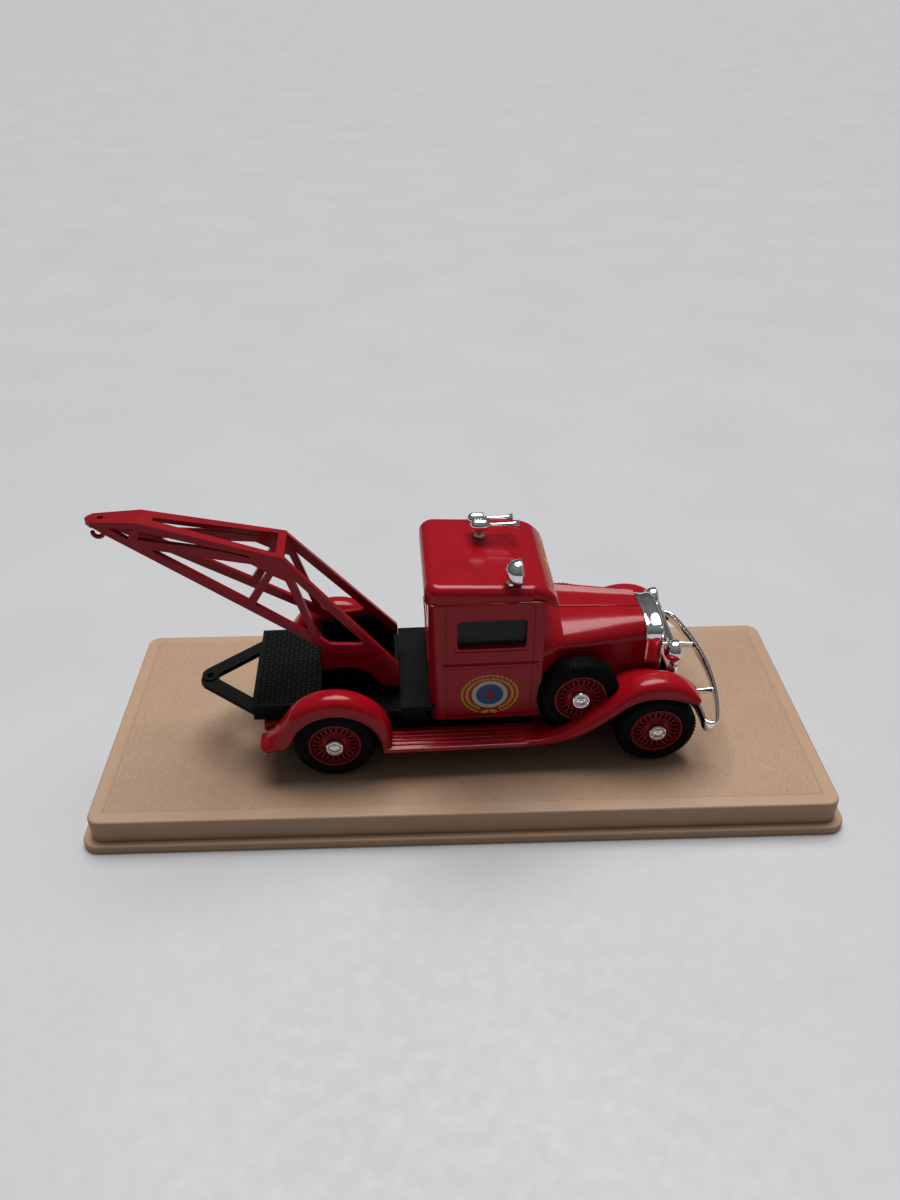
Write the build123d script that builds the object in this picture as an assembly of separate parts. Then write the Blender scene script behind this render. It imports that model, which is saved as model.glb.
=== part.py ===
from build123d import *
import math
import os

# Toy tow truck, 1:43, on its display plinth.  Millimetres, +Z up, +X towards the truck's front,
# +Y its left side.  The origin is the centre of the plinth's underside.
# The truck itself is drawn with x = 0 at the rear axle and z = 0 on the plinth's top, and is then
# moved into place by seat().

# ---------------------------------------------------------------- driving dimensions
WHEELBASE = 62.6
TYRE_R = 7.9
TYRE_WIDTH = 4.3
TYRE_OUTER_Y = 17.7
AXLE_Z = 7.95
AXLE_R = 0.75
AXLE_BORE_R = 0.80
RIM_R = 5.1

PLINTH_L = 143.0
PLINTH_W = 58.3
PLINTH_H = 6.6
PLINTH_STEP = 1.7
PLINTH_FLANGE = 1.45
PLINTH_SKIN = 2.0
PLINTH_TURN = -1.9
REAR_AXLE_X = -25.6
SCREW_XS = (10.0, 47.0)
SCREW_R = 0.9
RIVET_XS = (-8.0, 54.0)
RIVET_R = 0.7

WING_Y = 18.3
WING_INNER_Y = 12.7
BOARD_Z = 7.2
FLOOR_T = 0.8
FRAME_TOP_Z = 9.6
FRAME_Y = 12.4

CAB_Y = 13.2
CAB_WALL = 1.2
CAB_REAR_X = 18.6
CAB_FRONT_X = 40.0
CAB_BOTTOM_Z = 9.7
GUTTER_Z = 36.9
ROOF_REAR_Z = 40.4
ROOF_FALL = 0.05
VISOR_REAR_X = 37.5
HOOD_REAR_X = 44.6
HOOD_FRONT_X = 61.2
RADIATOR_FRONT_X = 64.6

DECK_Z = 14.4
DECK_REAR_X = -15.4
WELL_REAR_X = -2.4
TOW_TOP_Z = 12.5
TOW_EYE_X = -25.2
WELL_FRONT_X = 12.8
PANEL_FRONT_X = 17.8
PANEL_Z = 13.1

TIP_X = -42.6
CRANE_BEND_X = -33.0
CRANE_TIP_Z = 49.9
APEX_X = -7.3
APEX_Z = 42.7
FLARE = 0.1
BEND_HALF = 2.52
SIDE_T = 1.0
TOP_T = 0.9
HOOK_X = -39.8
HOOK_BORE_R = 0.55
HOOK_PEG_R = 0.50

SPARE_X = 47.5
SPARE_RING_Y = 14.9
SPARE_Z = 14.9
SPARE_LEAN = 3.0

BUMPER_Z = (8.3, 10.9)
BUMPER_T = 0.9
HEADLIGHT_X = 66.6
HEADLIGHT_Y = 9.2
HEADLIGHT_Z = 21.2
HEADLIGHT_R = 2.2
HORN_YS = (3.9, 6.46)
HORN_Z = 43.2
SPOT_X = 34.8
SPOT_Y = -11.5
SPOT_Z = 42.2
SPOT_R = 2.4
GAP = 0.03

parts = {}


# ---------------------------------------------------------------- small helpers
def block(x0, x1, y0, y1, z0, z1):
    return Pos((x0 + x1) / 2, (y0 + y1) / 2, (z0 + z1) / 2) * Box(x1 - x0, y1 - y0, z1 - z0)


def side_prism(outline, y0, y1):
    """Closed outline of (x, z) points or edges, extruded from y0 to y1."""
    wire = Polyline(*outline, close=True) if isinstance(outline, list) else outline
    plane = Plane(origin=(0, y1, 0), x_dir=(1, 0, 0), z_dir=(0, -1, 0))
    return extrude(plane * make_face(wire), amount=y1 - y0)


def plan_prism(outline, z0, z1):
    """Closed outline of (x, y) points or edges, extruded from z0 to z1."""
    wire = Polyline(*outline, close=True) if isinstance(outline, list) else outline
    return extrude(Pos(0, 0, z0) * make_face(wire), amount=z1 - z0)


def cylinder_y(x, y0, y1, z, radius):
    return Pos(x, (y0 + y1) / 2, z) * Rot(90, 0, 0) * Cylinder(radius, y1 - y0)


def cylinder_x(x0, x1, y, z, radius):
    return Pos((x0 + x1) / 2, y, z) * Rot(0, 90, 0) * Cylinder(radius, x1 - x0)


def cylinder_z(x, y, z0, z1, radius):
    return Pos(x, y, (z0 + z1) / 2) * Cylinder(radius, z1 - z0)


def both_sides(shape):
    return shape + mirror(shape, about=Plane.XZ)


def seat(shape):
    """Move a truck piece from the truck's own axes to the plinth."""
    return Pos(REAR_AXLE_X, 0, PLINTH_H) * shape


def flare_half(x):
    """Half-width of the crane over its outer faces at station x."""
    return BEND_HALF + FLARE * (x - CRANE_BEND_X)


def roof_top(x):
    """Height of the roof, which falls slightly towards the front."""
    return ROOF_REAR_Z - ROOF_FALL * (x - CAB_REAR_X)


def lens_x(x, y, z, radius, edge, crown):
    """Plano-convex lens whose flat back is at x and whose axis runs along +X."""
    steps = 6
    outline = [(0, 0), (radius, 0)]
    for i in range(steps + 1):
        share = math.radians(90 * i / steps)
        outline.append((radius * math.cos(share), edge + (crown - edge) * math.sin(share)))
    outline[-1] = (0, crown)
    section = make_face(Polyline(*outline, close=True))
    return Pos(x, y, z) * Rot(0, 0, -90) * revolve(section, axis=Axis.Y)


# ---------------------------------------------------------------- plinth
def display_plinth():
    wall = Box(PLINTH_L, PLINTH_W, PLINTH_H - PLINTH_STEP)
    wall = fillet(wall.edges().filter_by(Axis.Z), 2.6)
    wall = fillet(wall.edges().group_by(Axis.Z)[-1], 0.5)
    wall = Pos(0, 0, (PLINTH_H + PLINTH_STEP) / 2) * wall
    flange = Box(PLINTH_L + 2 * PLINTH_FLANGE, PLINTH_W + 2 * PLINTH_FLANGE, PLINTH_STEP)
    flange = fillet(flange.edges().filter_by(Axis.Z), 3.4)
    flange = fillet(flange.edges().group_by(Axis.Z)[-1], 0.4)
    body = wall + Pos(0, 0, PLINTH_STEP / 2) * flange
    inner_l = PLINTH_L - 2 * PLINTH_SKIN
    inner_w = PLINTH_W - 2 * PLINTH_SKIN
    body -= block(-inner_l / 2, inner_l / 2, -inner_w / 2, inner_w / 2, -1, PLINTH_H - PLINTH_SKIN)
    body = Rot(0, 0, PLINTH_TURN) * body
    for x in SCREW_XS:
        body -= cylinder_z(x + REAR_AXLE_X, 0, 0, PLINTH_H + 1, SCREW_R + 0.1)
    return body


def plinth_screws():
    group = []
    for x in SCREW_XS:
        head = cylinder_z(x, 0, -PLINTH_SKIN - 1.5, -PLINTH_SKIN - GAP, 2.1)
        head -= block(x - 2.2, x + 2.2, -0.25, 0.25, -PLINTH_SKIN - 2, -PLINTH_SKIN - 0.9)
        group.append(head + cylinder_z(x, 0, -PLINTH_SKIN - 0.5, 4.4, SCREW_R))
    return Compound(children=group)


# ---------------------------------------------------------------- chassis
def base_plate():
    plate = block(-12.5, 69.0, -10.5, 10.5, 3.6, 5.4)
    plate -= block(14.0, 28.0, -7.5, 7.5, 3.0, 4.4)
    for x in (0.0, WHEELBASE):
        for side in (-1, 1):
            ear = block(x - 2.1, x + 2.1, side * 9.0 - 1.5, side * 9.0 + 1.5, 3.6, 9.3)
            plate += ear
        plate -= cylinder_y(x, -12, 12, AXLE_Z, AXLE_BORE_R)
        plate -= block(x - 2.5, x + 2.5, -7.45, 7.45, 5.2, 9.5)
    for x in SCREW_XS:
        plate += cylinder_z(x, 0, 0.02, 6.3, 2.6)
        plate -= cylinder_z(x, 0, -0.1, 5.2, SCREW_R + 0.02)
    for x in RIVET_XS:
        plate -= cylinder_z(x, 0, 3, 6, RIVET_R + 0.05)
    return plate


def base_rivets():
    group = []
    for x in RIVET_XS:
        rivet = cylinder_z(x, 0, 3.1, 3.6 - GAP, 1.5) + cylinder_z(x, 0, 3.2, 8.8, RIVET_R)
        group.append(rivet)
    return Compound(children=group)


def rear_wing_outline():
    """Crown of the rear mudguard, with its tail flick, in (x, z)."""
    centre_x, centre_z, radius = 0.2, 8.6, 10.9
    front = (centre_x + radius * math.cos(math.radians(-8)), centre_z + radius * math.sin(math.radians(-8)))
    top = (centre_x, centre_z + radius)
    back = (centre_x + radius * math.cos(math.radians(160)), centre_z + radius * math.sin(math.radians(160)))
    crown = ThreePointArc(front, top, back)
    tail_top = Spline(back, (-12.0, 10.1), (-14.2, 9.0), tangents=((-0.35, -1.0), (-1.0, -0.35)))
    tail = Polyline((-14.2, 9.0), (-13.2, 7.8), (-9.6, 8.4), (-8.6, 6.4), front)
    return crown + tail_top + tail


def front_wing_outline():
    """Front mudguard: the sweep up from the running board, its crown and its nose."""
    board_low = (37.0, BOARD_Z - FLOOR_T)
    board_top = (37.0, BOARD_Z)
    lower = Spline(board_low, (42.5, 7.0), (47.0, 8.7), (51.8, 11.9), (56.0, 15.1), tangents=((1, 0), (1, 0.55)))
    arch = ThreePointArc((56.0, 15.1), (62.4, 16.9), (69.4, 14.9))
    nose = Line((69.4, 14.9), (70.6, 15.7))
    crown = ThreePointArc((70.6, 15.7), (63.8, 19.9), (56.3, 18.3))
    upper = Spline((56.3, 18.3), (53.4, 15.6), (49.5, 12.3), (45.0, 9.4), board_top, tangents=((-1, -0.75), (-1, 0)))
    return lower + arch + nose + crown + upper + Line(board_top, board_low)


def wing_unit():
    """One side of the wing casting: rear mudguard, ribbed running board, front mudguard."""
    rear = side_prism(rear_wing_outline(), WING_INNER_Y, WING_Y)
    crown_edges = [e for e in rear.edges() if e.center().Z > 9.5
                   and (e.center().Y > WING_Y - 0.1 or e.center().Y < WING_INNER_Y + 0.1)]
    rear = fillet(crown_edges, 2.2)
    rear -= cylinder_y(0.3, WING_INNER_Y - 1, WING_Y + 1, 7.0, 9.0)
    rear -= cylinder_y(0.2, WING_INNER_Y - 1, WING_Y - 0.7, 7.4, 10.2)

    front = side_prism(front_wing_outline(), 7.2, WING_Y)
    outer_edges = [e for e in front.edges() if e.center().Y > WING_Y - 0.1]
    front = fillet(max(outer_edges, key=lambda e: e.center().Z), 2.2)
    wedge = Polyline((13.6, 20.4), (7.0, 14.9), (7.0, 21.0), close=True)
    front -= extrude(Plane.YZ.offset(30) * make_face(wedge), amount=45)
    front -= block(30, 55.0, 7.0, WING_INNER_Y, 0, 30)
    front -= cylinder_y(WHEELBASE, WING_INNER_Y - 0.3, WING_Y + 1, AXLE_Z, 8.75)
    front -= cylinder_y(WHEELBASE, 9.0, WING_INNER_Y, AXLE_Z, 9.0)
    front -= spare_well()

    board = block(9.5, 37.2, WING_INNER_Y, WING_Y, BOARD_Z - FLOOR_T, BOARD_Z)
    for i in range(4):
        y = 13.9 + 1.2 * i
        board += block(10.6, 37.0, y - 0.3, y + 0.3, BOARD_Z - 0.1, BOARD_Z + 0.3)
    return rear + board + front


def spare_well():
    """Slot in the front mudguard that the spare wheel drops into."""
    disc = cylinder_y(0, -TYRE_WIDTH - 0.5, 0.75, 0, TYRE_R + 0.25)
    return Pos(SPARE_X, SPARE_RING_Y, SPARE_Z) * Rot(SPARE_LEAN, 0, 0) * disc


def wing_casting():
    casting = both_sides(wing_unit())
    floor = block(-13.4, 55.2, -WING_INNER_Y - 0.1, WING_INNER_Y + 0.1, BOARD_Z - FLOOR_T, BOARD_Z)
    for x in (0.0, WHEELBASE):
        floor -= block(x - 10.2, x + 10.2, -WING_Y, WING_Y, 5, 9)
    spine = block(-12.0, 70.0, -6.5, 6.5, BOARD_Z - FLOOR_T, BOARD_Z)
    for x in (0.0, WHEELBASE):
        spine -= block(x - 1.6, x + 1.6, -8, 8, 5, 9)
    rear_bar = block(-13.6, -10.4, -WING_INNER_Y - 0.3, WING_INNER_Y + 0.3, 8.6, 10.4)
    rear_web = block(-13.4, -10.4, -6.5, 6.5, BOARD_Z - FLOOR_T, 10.4)
    nose = block(65.0, 68.0, -7.6, 7.6, BOARD_Z - FLOOR_T, 12.2)
    sides = both_sides(block(64.9, 68.0, 6.5, 10.0, 10.4, 12.2))
    casting += floor + spine + rear_bar + rear_web + nose + sides
    casting += both_sides(block(65.0, 67.8, 9.9, 14.5, 10.4, 12.2))
    casting += both_sides(block(65.0, 67.8, 9.0, 10.0, 12.1, 16.0))
    casting -= both_sides(spare_well())
    casting -= scuttle_and_bonnet(inset=-GAP)
    for side in (-1, 1):
        casting -= cylinder_y(WHEELBASE, side * 15.5 - 3.1, side * 15.5 + 3.1, AXLE_Z, TYRE_R + 0.5)
        casting -= cylinder_z(HEADLIGHT_X + 0.1, side * HEADLIGHT_Y, 15.9 - GAP, 30, 0.9 + GAP)
    casting -= plan_clear_holes()
    return casting


def plan_clear_holes():
    """Holes through the floors for the screw bosses and rivets."""
    holes = cylinder_z(SCREW_XS[0], 0, 0, 9.5, 2.7)
    holes += cylinder_z(SCREW_XS[1], 0, 0, 9.5, 2.7)
    for x in RIVET_XS:
        holes += cylinder_z(x, 0, 2, 9.5, RIVET_R + 0.05)
    return holes


# ---------------------------------------------------------------- wheels
def tyre(outer_y):
    """Tyre about the Y axis; its outer face is at outer_y, its back towards -Y."""
    half = TYRE_WIDTH / 2
    section = Polyline(
        (RIM_R + GAP, -half + 0.5), (RIM_R + 0.5, -half), (TYRE_R - 1.1, -half), (TYRE_R - 0.25, -half + 0.6),
        (TYRE_R, -half + 1.1), (TYRE_R, half - 1.1), (TYRE_R - 0.25, half - 0.6), (TYRE_R - 1.1, half),
        (RIM_R + 0.5, half), (RIM_R + GAP, half - 0.3), close=True,
    )
    body = revolve(make_face(section), axis=Axis.Y)
    return Pos(0, outer_y - half, 0) * body


def rim(outer_y):
    """Spoked rim about the Y axis; spokes bulge outward to the hub."""
    back_y = -TYRE_WIDTH + 0.9
    section = Polyline(
        (AXLE_R, back_y), (4.6, back_y), (RIM_R, back_y + 0.4), (RIM_R, 0.05), (4.5, 0.05), (4.35, -0.9),
        (1.75, 0.0), (1.75, 0.45), (AXLE_R, 0.45), close=True,
    )
    body = revolve(make_face(section), axis=Axis.Y)
    spoke = Pos(3.0, -0.5, 0) * Rot(0, 0, -19) * Box(2.9, 0.5, 0.28)
    for i in range(20):
        body += Rot(0, 18 * i, 0) * spoke
    return Pos(0, outer_y - 0.3, 0) * body


def hubcap(outer_y):
    """Domed hub cap over the axle end, with a raised centre."""
    outer_r = 1.72
    section = Polyline(
        (0, 0.48), (outer_r, 0.48), (outer_r, 0.75), (1.2, 0.98), (0.75, 1.02), (0.65, 1.14), (0, 1.18), close=True,
    )
    return Pos(0, outer_y - 0.3, 0) * revolve(make_face(section), axis=Axis.Y)


def road_wheel(piece, x, side):
    shape = Pos(x, 0, AXLE_Z) * piece(TYRE_OUTER_Y)
    return shape if side > 0 else mirror(shape, about=Plane.XZ)


def axle(x):
    reach = TYRE_OUTER_Y + 0.1
    return cylinder_y(x, -reach, reach, AXLE_Z, AXLE_R)


def spare_wheel(piece, side):
    shape = Pos(SPARE_X, SPARE_RING_Y, SPARE_Z) * Rot(SPARE_LEAN, 0, 0) * piece(0.3)
    return shape if side > 0 else mirror(shape, about=Plane.XZ)


# ---------------------------------------------------------------- bed and crane
def well_half(x, inset):
    return flare_half(x) - SIDE_T - inset


def bed_frame():
    """Black moulding: frame, chequered rear deck, crane well and the panel behind the cab."""
    frame = block(-12.0, 38.5, -FRAME_Y, FRAME_Y, BOARD_Z + GAP, FRAME_TOP_Z)
    frame += block(38.4, 54.0, -9.8, 9.8, BOARD_Z + GAP, FRAME_TOP_Z)
    for x in (0.0, WHEELBASE):
        for side in (-1, 1):
            frame -= block(x - 10.4, x + 10.4, side * 15 - 5.0, side * 15 + 5.0, 5, 12)
        frame -= block(x - 2.3, x + 2.3, -12, 12, 5, 9.5)
    frame -= block(-13.8, -10.2, -14, 14, 5, 10.5)
    frame -= plan_clear_holes()
    deck = block(DECK_REAR_X, WELL_REAR_X, -12.45, 12.45, 11.2, DECK_Z)
    deck -= block(DECK_REAR_X - 1, -10.7, -11.45, 11.45, 11, TOW_TOP_Z + GAP)
    deck_leg = block(-10.0, -3.0, -11.0, 11.0, FRAME_TOP_Z - 0.1, 11.3)
    floor = block(-3.0, 13.0, -12.45, 12.45, 10.6, 11.8)
    web = block(-3.0, 13.0, -9.9, 9.9, FRAME_TOP_Z - 0.1, 10.7)
    panel = block(WELL_FRONT_X + 0.15, PANEL_FRONT_X, -13.15, 13.15, 10.2, PANEL_Z)
    panel_web = block(11.0, PANEL_FRONT_X, -12.0, 12.0, FRAME_TOP_Z - 0.1, 10.3)
    outer = [(WELL_REAR_X, well_half(WELL_REAR_X, 0.05)), (WELL_FRONT_X, well_half(WELL_FRONT_X, 0.05)),
             (WELL_FRONT_X, -well_half(WELL_FRONT_X, 0.05)), (WELL_REAR_X, -well_half(WELL_REAR_X, 0.05))]
    inner = [(WELL_REAR_X + 0.8, well_half(WELL_REAR_X, 0.85)), (WELL_FRONT_X - 0.8, well_half(WELL_FRONT_X, 0.85)),
             (WELL_FRONT_X - 0.8, -well_half(WELL_FRONT_X, 0.85)), (WELL_REAR_X + 0.8, -well_half(WELL_REAR_X, 0.85))]
    well = plan_prism(outer, 11.0, 22.6)
    moulding = frame + deck + deck_leg + floor + web + panel + panel_web + well
    moulding -= plan_prism(inner, 12.2, 23.0)
    moulding -= block(WELL_REAR_X - 1, WELL_REAR_X + 0.9, -3.6, 3.6, 16.5, 23)
    above_legs = [(-4, 22.2), (7.7, 22.2), (12.2, 17.5), (14, 17.5), (14, 24), (-4, 24)]
    moulding -= side_prism(above_legs, -9, 9)
    return moulding


def tow_frame():
    """Flat A-frame behind the deck, with a tow eye at its point."""
    outer = [(-15.6, 11.4), (-26.2, 2.5), (-26.9, 1.4), (-26.9, -1.4), (-26.2, -2.5), (-15.6, -11.4),
             (-10.8, -11.4), (-10.8, 11.4)]
    inner = [(-16.0, 7.3), (-23.6, 0.8), (-23.6, -0.8), (-16.0, -7.3)]
    low = TOW_TOP_Z - 1.0
    frame = plan_prism(outer, low, TOW_TOP_Z)
    frame -= block(-14.0, -10.0, -9.0, 9.0, low - 1, TOW_TOP_Z + 1)
    frame -= plan_prism(inner, low - 1, TOW_TOP_Z + 1)
    frame += cylinder_z(TOW_EYE_X, 0, low, TOW_TOP_Z + 0.35, 1.6)
    frame -= cylinder_z(TOW_EYE_X, 0, low - 1, TOW_TOP_Z + 1, 0.8)
    return frame


def crane_plane():
    length = math.hypot(1, FLARE)
    return Plane(origin=(CRANE_BEND_X, BEND_HALF, 0), x_dir=(1 / length, FLARE / length, 0),
                 z_dir=(FLARE / length, -1 / length, 0))


def crane_face(points):
    stretch = math.hypot(1, FLARE)
    return make_face(Polyline(*[((x - CRANE_BEND_X) * stretch, z) for x, z in points], close=True))


def crane_side():
    """Left lattice side of the crane with the cheek that stands on the bed."""
    outline = [(-41.6, 49.6), (CRANE_BEND_X, 49.6), (APEX_X, APEX_Z), (12.8, 18.9), (12.8, 17.1), (7.9, 22.2),
               (-0.6, 21.9), (-39.3, 47.5), (-40.9, 48.7), (-41.6, 48.9)]
    windows = [
        [(-38.2, 48.7), (-33.9, 48.6), (-35.2, 46.5)],
        [(-32.6, 48.1), (-13.4, 43.3), (-13.4, 42.8), (-17.0, 43.9), (-22.2, 44.9), (-33.3, 46.4)],
        [(-31.4, 44.3), (-26.4, 43.6), (-19.0, 42.4), (-13.4, 41.6), (-10.7, 39.9), (-14.9, 33.5)],
        [(-9.6, 39.1), (-7.4, 38.0), (-3.7, 25.9), (-13.6, 32.6)],
        [(-6.1, 38.6), (6.1, 24.3), (6.1, 23.5), (-0.2, 23.5), (-2.1, 25.0)],
    ]
    lattice = extrude(crane_plane() * crane_face(outline), amount=SIDE_T)
    for window in windows:
        lattice -= extrude(crane_plane().offset(-1) * crane_face(window), amount=SIDE_T + 2)
    cheek = [(-2.2, 22.3), (9.9, 22.3), (12.8, 18.9), (12.8, 13.3), (9.4, 13.6), (8.4, 15.2), (7.0, 16.6), (4.9, 17.7),
             (2.4, 17.9), (-2.2, 17.0)]
    lattice += extrude(crane_plane().offset(0.3) * crane_face(cheek), amount=SIDE_T - 0.3)
    return lattice - crane_top_envelope()


def crane_top_envelope():
    """Band that the bent top plate fills, in side view."""
    band = [(TIP_X, CRANE_TIP_Z), (CRANE_BEND_X, CRANE_TIP_Z), (APEX_X, APEX_Z + 0.2), (APEX_X, APEX_Z - 0.75),
            (APEX_X - 0.4, APEX_Z - 0.75), (CRANE_BEND_X, CRANE_TIP_Z - TOP_T), (TIP_X, CRANE_TIP_Z - TOP_T)]
    return side_prism(band, -8, 8)


def crane_top_plate():
    """Top of the crane: rounded tip, two chords with a long slot between, and the apex bar."""
    half_tip = flare_half(TIP_X + 1.4)
    half_bend = BEND_HALF
    half_apex = flare_half(APEX_X)
    outline = [(TIP_X + 1.2, half_tip), (CRANE_BEND_X, half_bend), (APEX_X, half_apex), (APEX_X, -half_apex),
               (CRANE_BEND_X, -half_bend), (TIP_X + 1.2, -half_tip), (TIP_X + 0.3, -0.9), (TIP_X, 0),
               (TIP_X + 0.3, 0.9)]
    slot_start = CRANE_BEND_X + 2.4
    slot_end = APEX_X - 1.5
    rail = 1.35
    slot = [(slot_start, flare_half(slot_start) - rail - 0.9), (slot_end, flare_half(slot_end) - rail),
            (slot_end, -flare_half(slot_end) + rail), (slot_start, -flare_half(slot_start) + rail + 0.9)]
    plate = crane_top_envelope() & plan_prism(outline, 38, 52)
    plate -= plan_prism(slot, 38, 52)
    plate -= cylinder_z(HOOK_X, 0, 45, 55, HOOK_BORE_R)
    return plate


def crane_hook():
    """Hook on a peg that turns in the tip plate's hole."""
    peg = cylinder_z(HOOK_X, 0, 48.0, CRANE_TIP_Z - 0.35, HOOK_PEG_R)
    stem = Pos(HOOK_X, 0, 48.05) * Cone(0.45, 0.65, 1.5)
    start = (HOOK_X, 0, 47.4)
    path = Line(start, (HOOK_X, 0, 46.9))
    path += ThreePointArc((HOOK_X, 0, 46.9), (HOOK_X - 0.95, 0, 45.95), (HOOK_X - 1.9, 0, 46.9))
    profile = Plane(origin=start, z_dir=(0, 0, -1)) * Circle(0.42)
    bow = sweep(profile, path=path)
    return peg + stem + bow + Pos(HOOK_X - 1.9, 0, 46.9) * Sphere(0.42)


# ---------------------------------------------------------------- cab and bonnet
def cab_lower():
    """Cab walls, scuttle and bonnet as one solid block."""
    cab = block(CAB_REAR_X, CAB_FRONT_X, -CAB_Y, CAB_Y, CAB_BOTTOM_Z, GUTTER_Z)
    cab = fillet(cab.edges().filter_by(Axis.Z).group_by(Axis.X)[0], 2.6)
    return cab


def bonnet_section(x, half, shoulder_z, crown_z, bottom_z):
    """Cross-section of the bonnet at station x: flat sides, rounded shoulders, low crown."""
    left = (half, shoulder_z)
    right = (-half, shoulder_z)
    sides = Polyline(left, (half, bottom_z), (-half, bottom_z), right)
    crown = Spline(right, (-half * 0.74, crown_z - 0.5), (0, crown_z), (half * 0.74, crown_z - 0.5), left,
                   tangents=((0.15, 1.0), (0.15, -1.0)))
    return Plane(origin=(x, 0, 0), x_dir=(0, 1, 0), z_dir=(1, 0, 0)) * make_face(sides + crown)


def scuttle_and_bonnet(inset=0.0):
    """Loft from the windscreen to the radiator; inset gives the hollow inside."""
    stations = [
        (CAB_FRONT_X - 1.8, 13.0, 24.0, 27.6),
        (42.2, 11.6, 23.6, 26.9),
        (HOOD_REAR_X, 10.2, 23.5, 26.4),
        (HOOD_FRONT_X, 7.1, 22.6, 25.8),
    ]
    bottom = CAB_BOTTOM_Z + 2.6
    faces = []
    for x, half, shoulder, crown in stations:
        faces.append(bonnet_section(x, half - inset, shoulder - inset, crown - inset,
                                    bottom - (5 if inset else 0)))
    return loft(faces[:2], ruled=True) + loft(faces[1:3], ruled=True) + loft(faces[2:], ruled=True)


def roof():
    """Crowned roof with a rain gutter and the curved sun visor in front."""
    rear_x = CAB_REAR_X - 0.7
    front_x = VISOR_REAR_X + 0.1
    side_view = [(rear_x, GUTTER_Z - 0.4), (rear_x, roof_top(rear_x)), (front_x, roof_top(front_x)),
                 (front_x, GUTTER_Z - 0.4)]
    slab = side_prism(side_view, -CAB_Y - 0.3, CAB_Y + 0.3)
    slab = fillet(slab.edges().filter_by(Axis.Z).group_by(Axis.X)[0], 2.9)
    visor_side = Polyline((VISOR_REAR_X, GUTTER_Z - 0.4), (VISOR_REAR_X, roof_top(front_x)))
    visor_top = Spline((VISOR_REAR_X, roof_top(front_x)), (40.2, 38.5), (41.8, 37.0), (42.7, 35.3),
                       tangents=((1.0, -0.1), (0.35, -1.0)))
    visor_under = Polyline((42.7, 35.3), (42.0, 35.2), (40.6, GUTTER_Z - 0.4), (VISOR_REAR_X, GUTTER_Z - 0.4))
    visor = side_prism(visor_side + visor_top + visor_under, -CAB_Y + 0.1, CAB_Y - 0.1)
    visor = fillet([e for e in visor.edges() if e.center().X > 39.5 and abs(e.center().Y) > 12
                    and e.length > 5.5], 1.6)
    slab = slab + visor
    top = [e for e in slab.edges() if e.center().Z > roof_top(e.center().X) - 0.05 and e.center().X < 37.4]
    return fillet(top, 1.9)


def window_cutter():
    """All window openings of the cab."""
    side = block(23.8, 36.8, -20, 20, 26.6, 33.0)
    side = fillet(side.edges().filter_by(Axis.Y), 0.8)
    rear = block(CAB_REAR_X - 3, 25.0, -5.6, 5.6, 28.2, 32.8)
    rear = fillet(rear.edges().filter_by(Axis.X), 0.8)
    screen = block(36.0, 46.0, -11.0, 11.0, 28.6, 35.2)
    return side + rear + screen


def cab_casting():
    shell = cab_lower() + scuttle_and_bonnet() + roof()
    radiator_core = block(HOOD_FRONT_X - 0.1, RADIATOR_FRONT_X - 0.5, -6.3, 6.3, CAB_BOTTOM_Z + 2.6, 24.4)
    radiator_sides = block(HOOD_FRONT_X - 0.1, RADIATOR_FRONT_X, -6.9, 6.9, CAB_BOTTOM_Z + 2.6, 16.9)
    shell += radiator_core + radiator_sides
    hollow = block(CAB_REAR_X + CAB_WALL, CAB_FRONT_X - CAB_WALL, -CAB_Y + CAB_WALL, CAB_Y - CAB_WALL,
                   CAB_BOTTOM_Z - 1, 37.9)
    shell -= hollow
    shell -= scuttle_and_bonnet(inset=CAB_WALL) & block(CAB_FRONT_X - 1.0, HOOD_FRONT_X - 1.0, -20, 20, 0, 40)
    shell -= both_sides(spare_well())
    shell -= window_cutter()
    shell -= cab_seams()
    shell += cab_mouldings()
    return shell


def cab_seams():
    """Door gaps cut into the outside of the cab."""
    depth = 0.25
    cuts = []
    for x in (21.7, 38.1):
        cuts.append(block(x - 0.12, x + 0.12, CAB_Y - depth, CAB_Y + 1, 10.6, 36.0))
    cuts.append(block(21.7, 38.1, CAB_Y - depth, CAB_Y + 1, 10.5, 10.75))
    one_side = cuts[0] + cuts[1] + cuts[2]
    return both_sides(one_side)


def cab_mouldings():
    """Belt moulding round the cab and the bonnet's centre and side beads."""
    belt = both_sides(block(CAB_REAR_X + 2.5, 38.8, CAB_Y - 0.1, CAB_Y + 0.15, 22.2, 22.8))
    rear_belt = block(CAB_REAR_X - 0.15, CAB_REAR_X + 0.1, -CAB_Y + 2.5, CAB_Y - 2.5, 22.2, 22.8)
    return belt + rear_belt


def cab_glazing():
    """Clear moulding inside the cab: four panes round a roof liner."""
    t = 0.5
    x0, x1 = CAB_REAR_X + CAB_WALL + GAP, CAB_FRONT_X - CAB_WALL - GAP
    y = CAB_Y - CAB_WALL - GAP
    outer = block(x0, x1, -y, y, 25.9, 37.8)
    inner = block(x0 + t, x1 - t, -y + t, y - t, 25.0, 37.2)
    return outer - inner


def interior_tub():
    """Black tub under the cab: floor, door liners with a wide sill, and rear bulkhead."""
    x0, x1 = CAB_REAR_X + CAB_WALL + 0.05, CAB_FRONT_X - CAB_WALL - 0.05
    y = CAB_Y - CAB_WALL - 0.05
    tub = block(x0, x1, -y, y, 9.75, 25.8)
    tub -= block(x0 + 1.0, x1 + 1, -y + 2.6, y - 2.6, 11.2, 30)
    return tub


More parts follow.
